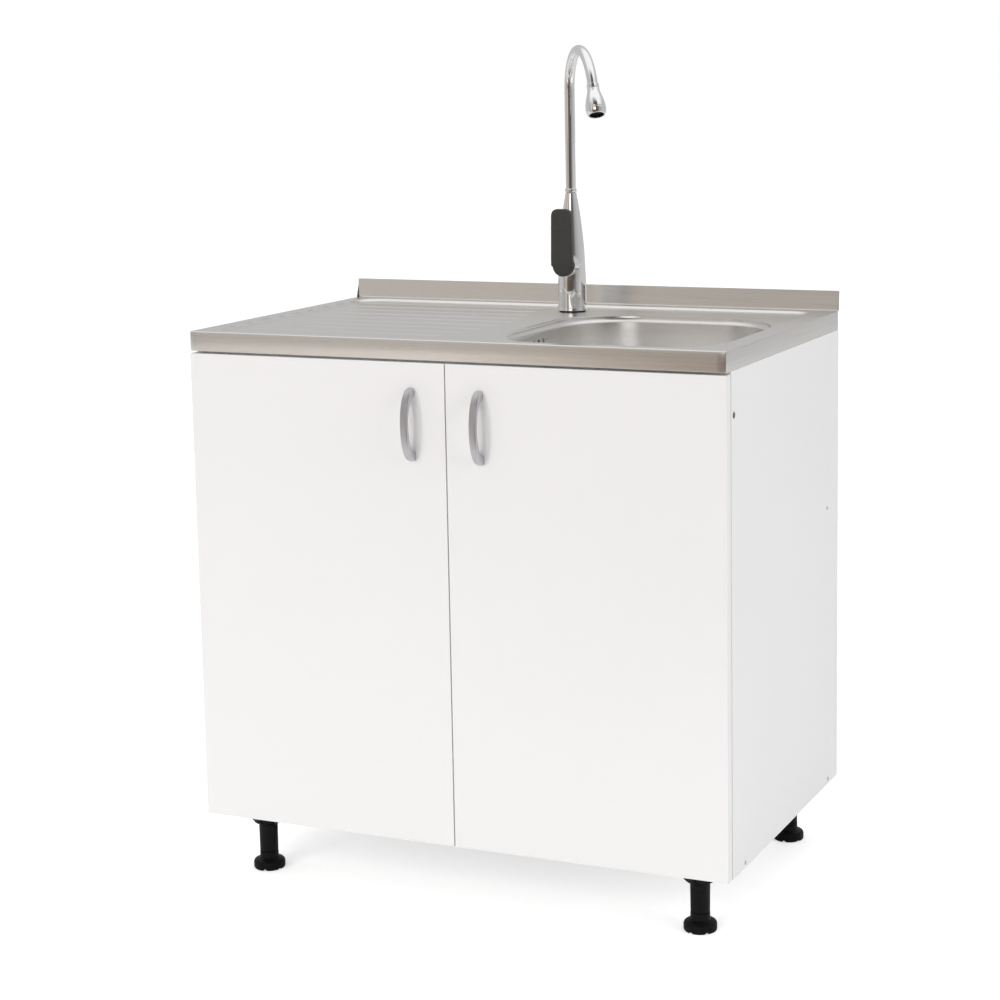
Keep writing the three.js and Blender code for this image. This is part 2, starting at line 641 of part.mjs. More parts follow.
/** A bow handle: an arched bar of rounded section with a foot at each end. */
function handle(side) {
  const { half, foot, width, thick, edge } = HANDLE;
  // Both arches are drawn as (distance in front of the door, height above the handle's middle).
  const arch = (path, reach, end, fullness) => {
    path.moveTo(0, -end);
    path.bezierCurveTo(reach * 0.62, -end, reach, -end * fullness, reach, 0);
    path.bezierCurveTo(reach, end * fullness, reach * 0.62, end, 0, end);
    return path;
  };
  const outer = arch(new THREE.Path(), HANDLE_REACH, half, 0.55).getPoints(10);
  const inner = arch(new THREE.Path(), HANDLE_REACH - thick, half - foot, 0.5).getPoints(8);
  const depth = width - 2 * edge;
  return new THREE.ExtrudeGeometry(new THREE.Shape([...outer, ...inner.reverse()]), {
    depth, bevelEnabled: true, bevelSize: 0, bevelThickness: edge, bevelSegments: 1,
  })
    .translate(0, 0, -depth / 2)
    .rotateX(Math.PI / 2)
    .rotateZ(-Math.PI / 2)
    .translate(side * HANDLE.x, FRONT - 0.05, HANDLE.z);
}

function addDoors() {
  for (const [name, side] of [['left', -1], ['right', 1]]) {
    add(unit, `${name}_door`, doorPanel(side), WHITE_BOARD);
    add(unit, `${name}_handle`, handle(side), SATIN_CHROME);
    HINGE.heights.forEach((z, i) => {
      const level = ['lower', 'upper'][i];
      add(unit, `${name}_${level}_hinge_cup`, hingeCup(side, z), ZINC);
      add(unit, `${name}_${level}_hinge_link`, hingeLink(side, z), ZINC);
      add(unit, `${name}_${level}_hinge_arm`, hingeArm(side, z), ZINC);
    });
  }
}

// ---------- legs ----------

function addLegs() {
  const panel = CABINET_BOTTOM;
  const places = [
    ['front_left', -LEG.x, LEG.front], ['front_right', LEG.x, LEG.front],
    ['rear_left', -LEG.x, LEG.rear], ['rear_right', LEG.x, LEG.rear],
  ];
  for (const [name, x, y] of places) {
    const leg = new THREE.Group();
    leg.position.set(x, y, 0);
    unit.add(leg);
    add(leg, `${name}_leg`, turned([
      [9, 26], [13.6, 26], [14, 64], [20.5, 71], [21.5, 76], [29, 86], [29, panel],
      [0, panel], [0, 74], [9, 74],
    ]), BLACK_PLASTIC);
    const notches = Array.from({ length: FOOT.notches }, (_, i) => (
      block(FOOT.radius - 3.5, -3, -3, FOOT.radius + 7, 3, 3)
        .rotateX(Math.PI / 4)
        .rotateZ(deg(((i + 0.5) * 360) / FOOT.notches))
    ));
    const foot = turned([
      [0, 0], [FOOT.radius - 1, 0], [FOOT.radius, 1], [FOOT.radius, 9.5], [20, 13.5],
      [13.6, 16], [13.6, 25.6],
      [FOOT.stem, 25.6], [FOOT.stem, FOOT.stemTop], [0, FOOT.stemTop],
    ]);
    add(leg, `${name}_foot`, cut(foot, ...notches), BLACK_PLASTIC);
  }
}

addSink();
addDrain();
addTap();
addCabinet();
addDoors();
addLegs();

export default unit;
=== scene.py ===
import math

import bmesh
import bpy
import numpy as np
from bpy.props import FloatProperty, FloatVectorProperty, IntProperty, PointerProperty
from mathutils import Matrix, Vector
from mathutils.geometry import delaunay_2d_cdt


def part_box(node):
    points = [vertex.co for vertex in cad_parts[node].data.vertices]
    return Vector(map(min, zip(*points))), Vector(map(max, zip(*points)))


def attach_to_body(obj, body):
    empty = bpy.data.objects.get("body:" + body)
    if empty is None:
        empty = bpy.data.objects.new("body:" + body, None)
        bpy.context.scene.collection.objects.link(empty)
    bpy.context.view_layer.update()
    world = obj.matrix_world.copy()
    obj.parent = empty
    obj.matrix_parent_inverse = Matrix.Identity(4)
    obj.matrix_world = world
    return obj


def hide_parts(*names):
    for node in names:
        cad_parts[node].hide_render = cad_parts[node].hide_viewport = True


bl_info = {
    "name": "Sink unit with cabinet and mixer tap",
    "version": (1, 0, 0),
    "blender": (4, 5, 0),
    "location": "View3D > Sidebar > Sink unit",
    "description": "Builds the finished pieces of the sink unit on its CAD frame",
    "category": "Object",
}

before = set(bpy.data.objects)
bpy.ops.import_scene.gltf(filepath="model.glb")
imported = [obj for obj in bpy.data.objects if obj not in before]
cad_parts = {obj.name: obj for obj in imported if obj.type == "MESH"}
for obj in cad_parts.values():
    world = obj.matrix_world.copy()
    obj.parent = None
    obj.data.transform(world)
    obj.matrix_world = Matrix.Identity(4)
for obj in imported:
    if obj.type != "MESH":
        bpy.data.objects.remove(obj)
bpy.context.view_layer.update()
MM = 0.001


def cad(node):
    """Lowest and highest corner of a CAD node, in millimetres."""
    low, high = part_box(node)
    return [v / MM for v in low], [v / MM for v in high]


# ---------- outlines and profiles, in millimetres ----------


def smoothstep(low, high, value):
    """0 below low, 1 above high, and smooth between, for numbers and arrays."""
    t = np.clip((value - low) / (high - low), 0, 1)
    return t * t * (3 - 2 * t)


def soften(points, radius, closed=False, steps=4):
    """A polyline whose corners are rounded; radius is one number or one for each point."""
    points = [np.array(p, float) for p in points]
    radii = radius if hasattr(radius, "__len__") else [radius] * len(points)
    result = []
    for i, corner in enumerate(points):
        if not closed and i in (0, len(points) - 1) or radii[i] <= 0:
            result.append(corner)
            continue
        before, after = points[i - 1] - corner, points[(i + 1) % len(points)] - corner
        reach = min(radii[i], 0.47 * np.linalg.norm(before), 0.47 * np.linalg.norm(after))
        start = corner + before / np.linalg.norm(before) * reach
        end = corner + after / np.linalg.norm(after) * reach
        for k in range(steps + 1):
            t = k / steps
            result.append((1 - t) ** 2 * start + 2 * t * (1 - t) * corner + t * t * end)
    return result


def flow(points, steps=6):
    """A smooth curve through the points."""
    p = [np.array(v, float) for v in points]
    p = [2 * p[0] - p[1], *p, 2 * p[-1] - p[-2]]
    result = []
    for a, b, c, d in zip(p, p[1:], p[2:], p[3:]):
        for k in range(steps):
            t = k / steps
            bend = (2 * a - 5 * b + 4 * c - d) * t * t + (3 * b - a - 3 * c + d) * t**3
            result.append(0.5 * (2 * b + (c - a) * t + bend))
    return result + [p[-2]]


def outline(centre, half, corner, spacing, left_cuts=None):
    """Points and outward normals round a rounded rectangle, counter-clockwise."""
    straight = (half[0] - corner, half[1] - corner)
    cx, cy = centre
    sides = [
        ((-straight[0], -half[1]), (straight[0], -half[1]), (0, -1), -90),
        ((half[0], -straight[1]), (half[0], straight[1]), (1, 0), 0),
        ((straight[0], half[1]), (-straight[0], half[1]), (0, 1), 90),
        ((-half[0], straight[1]), (-half[0], -straight[1]), (-1, 0), 180),
    ]
    points, normals = [], []
    for index, (start, end, normal, angle) in enumerate(sides):
        start, end = np.array(start), np.array(end)
        length = np.linalg.norm(end - start)
        count = max(1, round(length / spacing))
        shares = [k / count for k in range(count)]
        if index == 3 and left_cuts is not None:
            shares = [0.0] + [(start[1] + cy - y) / length for y in sorted(left_cuts, reverse=True)]
        for share in shares:
            points.append(start + (end - start) * share + (cx, cy))
            normals.append(normal)
        pivot = end - corner * np.array(normal)
        turns = max(2, round(corner * math.pi / 2 / spacing))
        for k in range(turns):
            a = math.radians(angle + 90 * k / turns)
            points.append(pivot + corner * np.array((math.cos(a), math.sin(a))) + (cx, cy))
            normals.append((math.cos(a), math.sin(a)))
    return np.array(points), np.array(normals)


def rounded_distance(points, centre, half, corner):
    """Distance outside a rounded rectangle; negative inside."""
    q = np.abs(points - np.array(centre)) - (np.array(half) - corner)
    outside = np.linalg.norm(np.maximum(q, 0), axis=1)
    return outside + np.minimum(q.max(axis=1), 0) - corner


def within(loop, point, margin):
    """Whether a point lies inside a convex loop, at least margin from its sides."""
    following = np.roll(loop, -1, axis=0)
    along = following - loop
    along /= np.linalg.norm(along, axis=1)[:, None]
    away = np.array(point) - loop
    distance = along[:, 0] * away[:, 1] - along[:, 1] * away[:, 0]
    return bool((distance > margin).all() or (distance < -margin).all())


# ---------- meshes ----------


class Skin:
    """Points in millimetres and faces, gathered from one or more shells."""

    def __init__(self):
        self.points = []
        self.faces = []
        self.finishes = []

    def add(self, points, faces):
        """Adds a shell in the first finish."""
        base = len(self.points)
        self.points += [tuple(p) for p in points]
        self.faces += [[base + i for i in face] for face in faces]
        self.finishes += [0] * len(faces)
        return self

    def rows(self, rows, loop=False, caps=(False, False), skip=()):
        """Quads between rows of equal length; caps close the ends round a middle point."""
        count = len(rows[0])
        points = [p for row in rows for p in row]
        faces = []
        for j in range(len(rows) if loop else len(rows) - 1):
            k = (j + 1) % len(rows)
            for i in range(count):
                if (i, j) in skip:
                    continue
                n = (i + 1) % count
                faces.append((j * count + i, j * count + n, k * count + n, k * count + i))
        for wanted, start in zip(caps, (0, (len(rows) - 1) * count)):
            if wanted:
                middle = np.mean([points[start + i] for i in range(count)], axis=0)
                points.append(middle)
                hub = len(points) - 1
                faces += [(hub, start + i, start + (i + 1) % count) for i in range(count)]
        return self.add(points, faces)

    def turned(self, profile, sides=64, place=None, shape=None):
        """A profile of (radius, height) turned about Z, then placed by a matrix."""
        closed = profile[0][0] > 0.001
        rims = [p for p in profile if p[0] > 0.001]
        place = place or Matrix.Identity(4)
        rows = []
        for radius, height in rims:
            row = []
            for i in range(sides):
                a = 2 * math.pi * i / sides
                r, z = (radius, height) if shape is None else shape(radius, height, a)
                row.append(place @ Vector((r * math.cos(a), r * math.sin(a), z)))
            rows.append(row)
        return self.rows(rows, loop=closed, caps=(not closed, not closed))

    def swept(self, path, section, up=(0, 0, 1)):
        """A closed section of (side, up) points, or one for each path point, along a path."""
        path = [np.array(p, float) for p in path]
        normal = np.array(up, float)
        rows = []
        for i, p in enumerate(path):
            ahead = path[min(i + 1, len(path) - 1)] - path[max(i - 1, 0)]
            ahead /= np.linalg.norm(ahead)
            normal = normal - ahead * np.dot(normal, ahead)
            normal /= np.linalg.norm(normal)
            side = np.cross(ahead, normal)
            points = section(i / (len(path) - 1)) if callable(section) else section
            rows.append([p + side * u + normal * v for u, v in points])
        return self.rows(rows, caps=(True, True))

    def prism(self, shape, start, end):
        """A closed shape of (y, z) points, pushed along X."""
        return self.rows([[(x, y, z) for y, z in shape] for x in (start, end)], caps=(True, True))


def circle(radius, sides=24):
    """Points round a circle about the origin."""
    return [
        (radius * math.cos(2 * math.pi * i / sides), radius * math.sin(2 * math.pi * i / sides))
        for i in range(sides)
    ]


def aim(origin, direction):
    """Places a turned shape: its Z axis along the direction, its base at the origin."""
    turn = Vector(direction).to_track_quat("Z", "Y").to_matrix().to_4x4()
    return Matrix.Translation(Vector(origin)) @ turn


def made(name, skin, finishes, body, replaced=(), sheet=0.0, sharp=38, open_up=False):
    """Turns a skin into an object that rides a body and takes its finishes."""
    mesh = bpy.data.meshes.new(name)
    bm = bmesh.new()
    verts = [bm.verts.new(Vector(p) * MM) for p in skin.points]
    for indices, finish in zip(skin.faces, skin.finishes):
        try:
            face = bm.faces.new([verts[i] for i in dict.fromkeys(indices)])
        except ValueError:
            continue
        face.material_index = finish
        face.smooth = True
    bmesh.ops.remove_doubles(bm, verts=bm.verts, dist=1e-5)
    bmesh.ops.recalc_face_normals(bm, faces=bm.faces)
    if open_up and sum(f.normal.z * f.calc_area() for f in bm.faces) < 0:
        bmesh.ops.reverse_faces(bm, faces=bm.faces)
    bm.to_mesh(mesh)
    bm.free()
    obj = bpy.data.objects.new(name, mesh)
    bpy.context.collection.objects.link(obj)
    if sheet:
        solid = obj.modifiers.new("Sheet", "SOLIDIFY")
        solid.thickness, solid.offset = sheet * MM, -1
        solid.use_even_offset = True
        bake_modifiers(obj)
    obj.data.set_sharp_from_angle(angle=math.radians(sharp))
    return attach(obj, finishes, body, replaced)


def bake_modifiers(obj):
    """Replaces an object's mesh by the one its modifiers give."""
    view = bpy.context.view_layer
    view.update()
    mesh = bpy.data.meshes.new_from_object(obj.evaluated_get(view.depsgraph))
    obj.modifiers.clear()
    obj.data = mesh


def attach(obj, finishes, body, replaced=()):
    """Gives an object its finishes, its body and the CAD nodes it replaces."""
    obj.data.materials.clear()
    for finish in finishes:
        obj.data.materials.append(finish)
    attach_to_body(obj, body)
    if replaced:
        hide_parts(*replaced)
    return obj


def eased(node, finishes, body, edge, choose=None):
    """A copy of a CAD node with its edges broken, which replaces it."""
    bm = bmesh.new()
    bm.from_mesh(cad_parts[node].data)
    bmesh.ops.remove_doubles(bm, verts=bm.verts, dist=2e-6)
    bmesh.ops.dissolve_limit(bm, angle_limit=math.radians(1), verts=bm.verts, edges=bm.edges)
    for face in bm.faces:
        face.smooth = False
        face.material_index = choose(face) if choose else 0
    sharp = [e for e in bm.edges if len(e.link_faces) == 2 and e.calc_face_angle(0) > math.radians(50)]
    rounds = bmesh.ops.bevel(
        bm, geom=sharp, offset=edge * MM, segments=2, profile=0.5, affect="EDGES",
        clamp_overlap=True,
    )
    for face in rounds["faces"]:
        face.smooth = True
    bmesh.ops.triangulate(bm, faces=[f for f in bm.faces if len(f.verts) > 4])
    mesh = bpy.data.meshes.new(f"{node}_eased")
    bm.to_mesh(mesh)
    bm.free()
    obj = bpy.data.objects.new(f"{node}_panel", mesh)
    bpy.context.collection.objects.link(obj)
    return attach(obj, finishes, body, (node,))


# ---------- shader building ----------


class Wire:
    """A shader socket that can be used in sums."""

    def __init__(self, build, socket):
        self.build, self.socket = build, socket

    def _sum(self, operation, first, second):
        return self.build.node("ShaderNodeMath", {"operation": operation}, {0: first, 1: second})

    def __add__(self, other):
        return self._sum("ADD", self, other)

    def __radd__(self, other):
        return self._sum("ADD", other, self)

    def __sub__(self, other):
        return self._sum("SUBTRACT", self, other)

    def __rsub__(self, other):
        return self._sum("SUBTRACT", other, self)

    def __mul__(self, other):
        return self._sum("MULTIPLY", self, other)

    def __rmul__(self, other):
        return self._sum("MULTIPLY", other, self)

    def __truediv__(self, other):
        return self._sum("DIVIDE", self, other)


class Shader:
    """A node tree that is built by adding nodes."""

    def __init__(self, tree):
        self.tree = tree
        tree.nodes.clear()

    def node(self, kind, settings=None, values=None, output=0):
        """Adds a node: its settings first, then its sockets' values or links."""
        node = self.tree.nodes.new(kind)
        for key, value in (settings or {}).items():
            if key == "stops":
                ramp = node.color_ramp
                while len(ramp.elements) < len(value):
                    ramp.elements.new(1)
                for element, (position, colour) in zip(ramp.elements, value):
                    element.position, element.color = position, (*colour, 1)
            else:
                setattr(node, key, value)
        for key, value in (values or {}).items():
            if isinstance(value, Wire):
                self.tree.links.new(value.socket, node.inputs[key])
            elif hasattr(value, "__len__") and node.inputs[key].type == "RGBA":
                node.inputs[key].default_value = (*value[:3], 1)
            else:
                node.inputs[key].default_value = value
        return Wire(self, node.outputs[output])

    def blend(self, share, first, second):
        """A colour between two colours."""
        return self.node(
            "ShaderNodeMix", {"data_type": "RGBA"}, {"Factor": share, 6: first, 7: second}, 2
        )

    def place(self, scale=(1, 1, 1)):
        """Object coordinates in metres, stretched."""
        here = self.node("ShaderNodeTexCoord", output=3)
        return self.node("ShaderNodeMapping", None, {"Vector": here, "Scale": scale})

    def parts(self, vector):
        """The X, Y and Z of a vector."""
        return [self.node("ShaderNodeSeparateXYZ", None, {0: vector}, axis) for axis in range(3)]

    def level(self, colour):
        """The first channel of a colour as a number."""
        return self.node("ShaderNodeSeparateColor", None, {0: colour}, 0)

    def noise(self, where, scale, detail=2.0, roughness=0.5):
        """Cloudy noise from 0 to 1."""
        return self.node(
            "ShaderNodeTexNoise", None,
            {"Vector": where, "Scale": scale, "Detail": detail, "Roughness": roughness},
        )

    def step(self, value, low, high):
        """0 to 1 as value goes from low to high."""
        return self.node(
            "ShaderNodeMapRange", {"interpolation_type": "SMOOTHSTEP"},
            {"Value": value, "From Min": low, "From Max": high},
        )

    def bump(self, height, distance, strength=1.0):
        """A normal that follows a height."""
        return self.node(
            "ShaderNodeBump", None,
            {"Height": height, "Distance": distance, "Strength": strength},
        )

    def finish(self, kind, surface):
        """Ends the tree in an output node."""
        output = self.tree.nodes.new(kind)
        self.tree.links.new(surface.socket, output.inputs["Surface"])


def finish_of(name, build, **constants):
    """A material: build gives what varies over the surface, constants are set on the sockets."""
    if name in bpy.data.materials:
        return bpy.data.materials[name]
    material = bpy.data.materials.new(name)
    material.use_nodes = True
    shader = Shader(material.node_tree)
    values = {key.replace("_", " ").title().replace("Ior", "IOR"): v for key, v in constants.items()}
    values.update(build(shader))
    surface = shader.node("ShaderNodeBsdfPrincipled", None, values)
    shader.finish("ShaderNodeOutputMaterial", surface)
    return material


def settings():
    """The sizes and colours that the panel shows."""
    return bpy.context.scene.sink_unit


def brushed_steel():
    """Sink sheet, brushed along its length, along the depth on its ends, with painted light: a paler colour
    in the bowl brightens it.
    """
    colour = settings().finishes.steel

    def build(s):
        sideways = s.parts(s.node("ShaderNodeNewGeometry", output=1))[0]
        on_ends = s.step(s.node("ShaderNodeMath", {"operation": "ABSOLUTE"}, {0: sideways}), 0.6, 0.8)

        def grain(along, across, detail):
            lengthwise = s.noise(s.place((along, across, across)), 1.0, detail)
            endwise = s.noise(s.place((across, along, across)), 1.0, detail)
            return lengthwise * (1 - on_ends) + endwise * on_ends

        fine, coarse = grain(14, 2400, 2), grain(3, 320, 3)
        wear = s.noise(s.place(), 9.0, 3)
        shade = 0.5 + (fine - 0.5) * 0.7 + (coarse - 0.5) * 0.9
        base = s.blend(shade, [c * 0.93 for c in colour], [min(1, c * 1.07) for c in colour])
        # painted light: a paler copy of the steel colour, blended in below the deck inside the bowl, stands
        # in for light the bowl lacks
        painted_bowl_light_colour = s.blend(shade, [min(1, c * 1.27) for c in colour], [min(1, c * 1.38) for c in colour])
        x, y, z = s.parts(s.place())
        away_from_apron = (1 - s.step(x, 0.385, 0.39)) * s.step(y, -0.235, -0.23)
        painted_bowl_light_mask = (1 - s.step(z, 0.755, 0.795)) * away_from_apron
        return {
            "Base Color": s.blend(painted_bowl_light_mask, base, painted_bowl_light_colour),
            "Roughness": 0.19 + fine * 0.09 + coarse * 0.07 + wear * 0.05,
            "Normal": s.bump(fine * 0.5 + coarse, 0.00004, 0.35),
        }

    return finish_of("brushed steel", build, metallic=1.0)


def polished(name, colour, rough, smudge):
    """Plated metal with faint wiping marks."""

    def build(s):
        wiped = s.noise(s.place((1, 1, 0.35)), 60.0, 4, 0.6)
        spots = s.noise(s.place(), 420.0, 2)
        return {
            "Base Color": s.blend(wiped, [c * 0.97 for c in colour], colour),
            "Roughness": rough + s.step(wiped, 0.5, 0.8) * smudge + spots * smudge * 0.3,
            "Normal": s.bump(wiped, 0.00001, 0.08),
        }

    return finish_of(name, build, metallic=1.0)


def chrome():
    """The tap's plating."""
    return polished("polished chrome", tuple(settings().finishes.chrome), 0.035, 0.05)


def satin():
    """Handle metal, finely brushed along its length."""
    colour = settings().finishes.satin

    def build(s):
        grain = s.noise(s.place((2600, 2600, 60)), 1.0, 2)
        return {
            "Base Color": s.blend(grain, [c * 0.92 for c in colour], colour),
            "Roughness": 0.36 + grain * 0.14,
            "Normal": s.bump(grain, 0.00002, 0.3),
        }

    return finish_of("satin chrome", build, metallic=1.0)


def zinc():
    """Die-cast and plated hardware."""

    def build(s):
        cloud = s.noise(s.place(), 140.0, 4)
        return {
            "Base Color": s.blend(cloud, (0.42, 0.42, 0.43), (0.6, 0.6, 0.61)),
            "Roughness": 0.26 + cloud * 0.2,
            "Normal": s.bump(cloud, 0.00004, 0.3),
        }

    return finish_of("plated zinc", build, metallic=1.0)


def lacquer():
    """The lever's dark satin coating."""
    colour = settings().finishes.lever

    def build(s):
        grain = s.noise(s.place(), 2600.0, 2)
        cloud = s.noise(s.place(), 70.0, 3)
        return {
            "Base Color": s.blend(cloud, [c * 0.9 for c in colour], [c * 1.12 for c in colour]),
            "Roughness": 0.3 + grain * 0.12 + cloud * 0.06,
            "Normal": s.bump(grain, 0.00002, 0.25),
        }

    return finish_of("charcoal lacquer", build)


def melamine():
    """White pressed board face with a fine even texture."""
    colour = settings().finishes.board

    def build(s):
        peel = s.noise(s.place(), 700.0, 2)
        cloud = s.noise(s.place(), 5.0, 3)
        return {
            "Base Color": s.blend(cloud, [c * 0.985 for c in colour], colour),
            "Roughness": 0.33 + peel * 0.09 + cloud * 0.05,
            "Normal": s.bump(peel, 0.00003, 0.25),
        }

    return finish_of("white melamine", build, specular_ior_level=0.45)


def edge_band():
    """Glued plastic edge, a touch smoother and cooler than the board's face."""
    colour = settings().finishes.board

    def build(s):
        along = s.noise(s.place((900, 900, 30)), 1.0, 2)
        return {
            "Base Color": s.blend(along, [c * 0.965 for c in colour], [c * 0.99 for c in colour]),
            "Roughness": 0.28 + along * 0.1,
            "Normal": s.bump(along, 0.00002, 0.2),
        }

    return finish_of("edge band", build)


def chipboard():
    """Raw sawn edge of the board."""

    def build(s):
        chips = s.node(
            "ShaderNodeTexVoronoi", {"feature": "F1"},
            {"Vector": s.place((1, 1, 2.4)), "Scale": 260.0}, 1,
        )
        tone = s.level(chips)
        fibre = s.noise(s.place((1, 1, 3)), 1500.0, 3)
        base = s.blend(tone, (0.30, 0.19, 0.10), (0.62, 0.46, 0.28))
        return {
            "Base Color": s.blend(fibre * 0.4, base, (0.18, 0.11, 0.06)),
            "Roughness": 0.75 + fibre * 0.2,
            "Normal": s.bump(tone + fibre * 0.6, 0.0002, 0.5),
        }

    return finish_of("chipboard", build)


def moulded(name, colour, rough, texture=1800.0, shine=0.5):
    """Injection moulded plastic with a fine spark-eroded texture."""

    def build(s):
        grain = s.noise(s.place(), texture, 2)
        cloud = s.noise(s.place(), 30.0, 3)
        return {
            "Base Color": s.blend(cloud, [c * 0.88 for c in colour], [min(1, c * 1.1) for c in colour]),
            "Roughness": rough + grain * 0.12 + cloud * 0.06,
            "Normal": s.bump(grain, 0.00003, 0.35),
        }

    return finish_of(name, build, specular_ior_level=shine)


def white_plastic():
    """Trap and waste fittings."""
    return moulded("white polypropylene", (0.8, 0.8, 0.785), 0.3)


def black_plastic():
    """Legs, feet and the aerator."""
    return moulded("black moulded plastic", tuple(settings().finishes.feet), 0.36, shine=0.16)


def rubber():
    """Seals and the tap's washer."""
    return moulded("black rubber", (0.012, 0.012, 0.012), 0.6, 900.0)


# ---------- settings ----------


def millimetres(name, description, default, low=0.0):
    """A length property whose default is given in millimetres."""
    return FloatProperty(
        name=name, description=description, default=default * MM, min=low, unit="LENGTH", precision=4
    )


def tint(name, description, default):
    """A colour property."""
    return FloatVectorProperty(
        name=name, description=description, default=default, size=3, min=0, max=1, subtype="COLOR"
    )


class FinishSettings(bpy.types.PropertyGroup):
    steel: tint("Sink steel", "Reflected colour of the brushed sink steel", (0.78, 0.765, 0.745))
    chrome: tint("Chrome", "Reflected colour of the polished tap", (0.90, 0.90, 0.91))
    satin: tint("Satin chrome", "Reflected colour of the door handles", (0.60, 0.60, 0.63))
    lever: tint("Lever", "Colour of the lever's coating", (0.040, 0.040, 0.038))
    board: tint("Board", "Colour of the melamine faces", (0.86, 0.86, 0.865))
    feet: tint("Feet", "Colour of the moulded legs and feet", (0.004, 0.004, 0.0042))


class SinkSettings(bpy.types.PropertyGroup):
    recess: millimetres("Recess", "Depth of the pressed inner deck below the border", 3.5)
    rib_count: IntProperty(name="Ribs", description="Raised ribs across the drainer", default=9, min=0)
    rib_height: millimetres("Rib height", "Height of a drainer rib", 1.2)
    sheet: millimetres("Sheet", "Thickness of the steel", 1.0, 0.0002)
    wall_draft: millimetres("Wall draft", "How far the bowl's wall leans in", 7.0)


class TapSettings(bpy.types.PropertyGroup):
    heading: FloatProperty(
        name="Heading", description="Turn of the spout from the sink's right",
        default=math.radians(-52.5), unit="ROTATION",
    )
    spout_radius: millimetres("Spout radius", "Radius of the spout's tube", 7.5)
    rise: millimetres("Rise", "Bend radius where the spout leaves its riser", 56)
    fall: millimetres("Fall", "Bend radius towards the nozzle", 86)
    drop: FloatProperty(
        name="Drop", description="How far the spout has turned down at the nozzle",
        default=math.radians(65), unit="ROTATION",
    )


class CabinetSettings(bpy.types.PropertyGroup):
    broken_edge: millimetres("Broken edge", "Rounding of the board edges", 0.5)
    foot_notches: IntProperty(name="Notches", description="Notches round a foot", default=6, min=0)


def watts(name, description, default):
    """A lamp's power."""
    return FloatProperty(name=name, description=description, default=default, min=0, unit="POWER")


class StageSettings(bpy.types.PropertyGroup):
    room: FloatProperty(
        name="Room light", description="Strength of the even studio light", default=0.9, min=0
    )
    paper: FloatProperty(
        name="Paper glow", description="How much the floor paper lights itself", default=0.5, min=0
    )
    key: watts("Key light", "Power of the small light at the left", 10.5)
    fill: watts("Fill light", "Power of the wide light in front", 74.0)
    side: watts("Side light", "Power of the light at the right", 26.0)
    top: watts("Top light", "Power of the light above", 24.0)


class SinkUnitSettings(bpy.types.PropertyGroup):
    finishes: PointerProperty(type=FinishSettings)
    sink: PointerProperty(type=SinkSettings)
    tap: PointerProperty(type=TapSettings)
    cabinet: PointerProperty(type=CabinetSettings)
    stage: PointerProperty(type=StageSettings)


# ---------- places that several pieces share ----------

SINK_LOW, SINK_HIGH = cad("sink_top")
BOWL_LOW, BOWL_HIGH = cad("bowl")
UPSTAND, LEAN = 29.0, 4.0
BORDER = SINK_HIGH[2] - UPSTAND
REAR = SINK_HIGH[1] - LEAN
FRONT = SINK_LOW[1]
HALF_WIDTH = 400.0
APRON_BEND = 2.5
DECK = (-1.0, (FRONT + REAR - 3) / 2)
DECK_HALF = (371.0, (REAR - FRONT - 47) / 2)
DECK_CORNER = 30.0
FLANGE = 9.0
BOWL = ((BOWL_LOW[0] + BOWL_HIGH[0]) / 2, (BOWL_LOW[1] + BOWL_HIGH[1]) / 2)
BOWL_HALF = ((BOWL_HIGH[0] - BOWL_LOW[0]) / 2 - FLANGE, (BOWL_HIGH[1] - BOWL_LOW[1]) / 2 - FLANGE)
BOWL_CORNER = 100.0
BOWL_FLOOR = BOWL_LOW[2] + 1.2
TAP_LOW, TAP_HIGH = cad("tap_body")
TAP = ((TAP_LOW[0] + TAP_HIGH[0]) / 2, TAP_HIGH[1] - 21.8, TAP_LOW[2] - 2.0)
TAP_HOLE = 17.5
LEVER_AXIS = 71.5
BARE_BOSS = 12.4
SLOTS = [BOWL[1] + dy for dy in (-40.5, -24.5, -8.5, 7.5)]
SLOT_COLUMNS = (3.5, 1.6, -1.6, -3.5)


def deck_height(xy):
    """Height of the pressed deck at points (x, y)."""
    sink = settings().sink
    x, y = xy[:, 0], xy[:, 1]
    step = rounded_distance(xy, DECK, DECK_HALF, DECK_CORNER)
    z = BORDER - sink.recess / MM * (1 - smoothstep(-3.0, 3.0, step))
    for left, right, middle in ribs():
        away = np.hypot(np.maximum(np.maximum(left - x, x - right), 0) / 2.2, y - middle)
        z = z + sink.rib_height / MM * 0.5 * (1 + np.cos(np.pi * np.minimum(away / 6.5, 1)))
    rim = rounded_distance(xy, BOWL, BOWL_HALF, BOWL_CORNER)
    bead = 0.5 * (1 + np.cos(np.pi * np.minimum(np.abs(rim - 9) / 4.5, 1)))
    return z + 1.4 * bead * (1 - smoothstep(44, 84, x))


def ribs():
    """Left end, right end and middle line of each drainer rib."""
    return [
        (-352, -18 - 8 * abs(i - 3.5), FRONT + 78 + 45 * i)
        for i in range(settings().sink.rib_count)
    ]


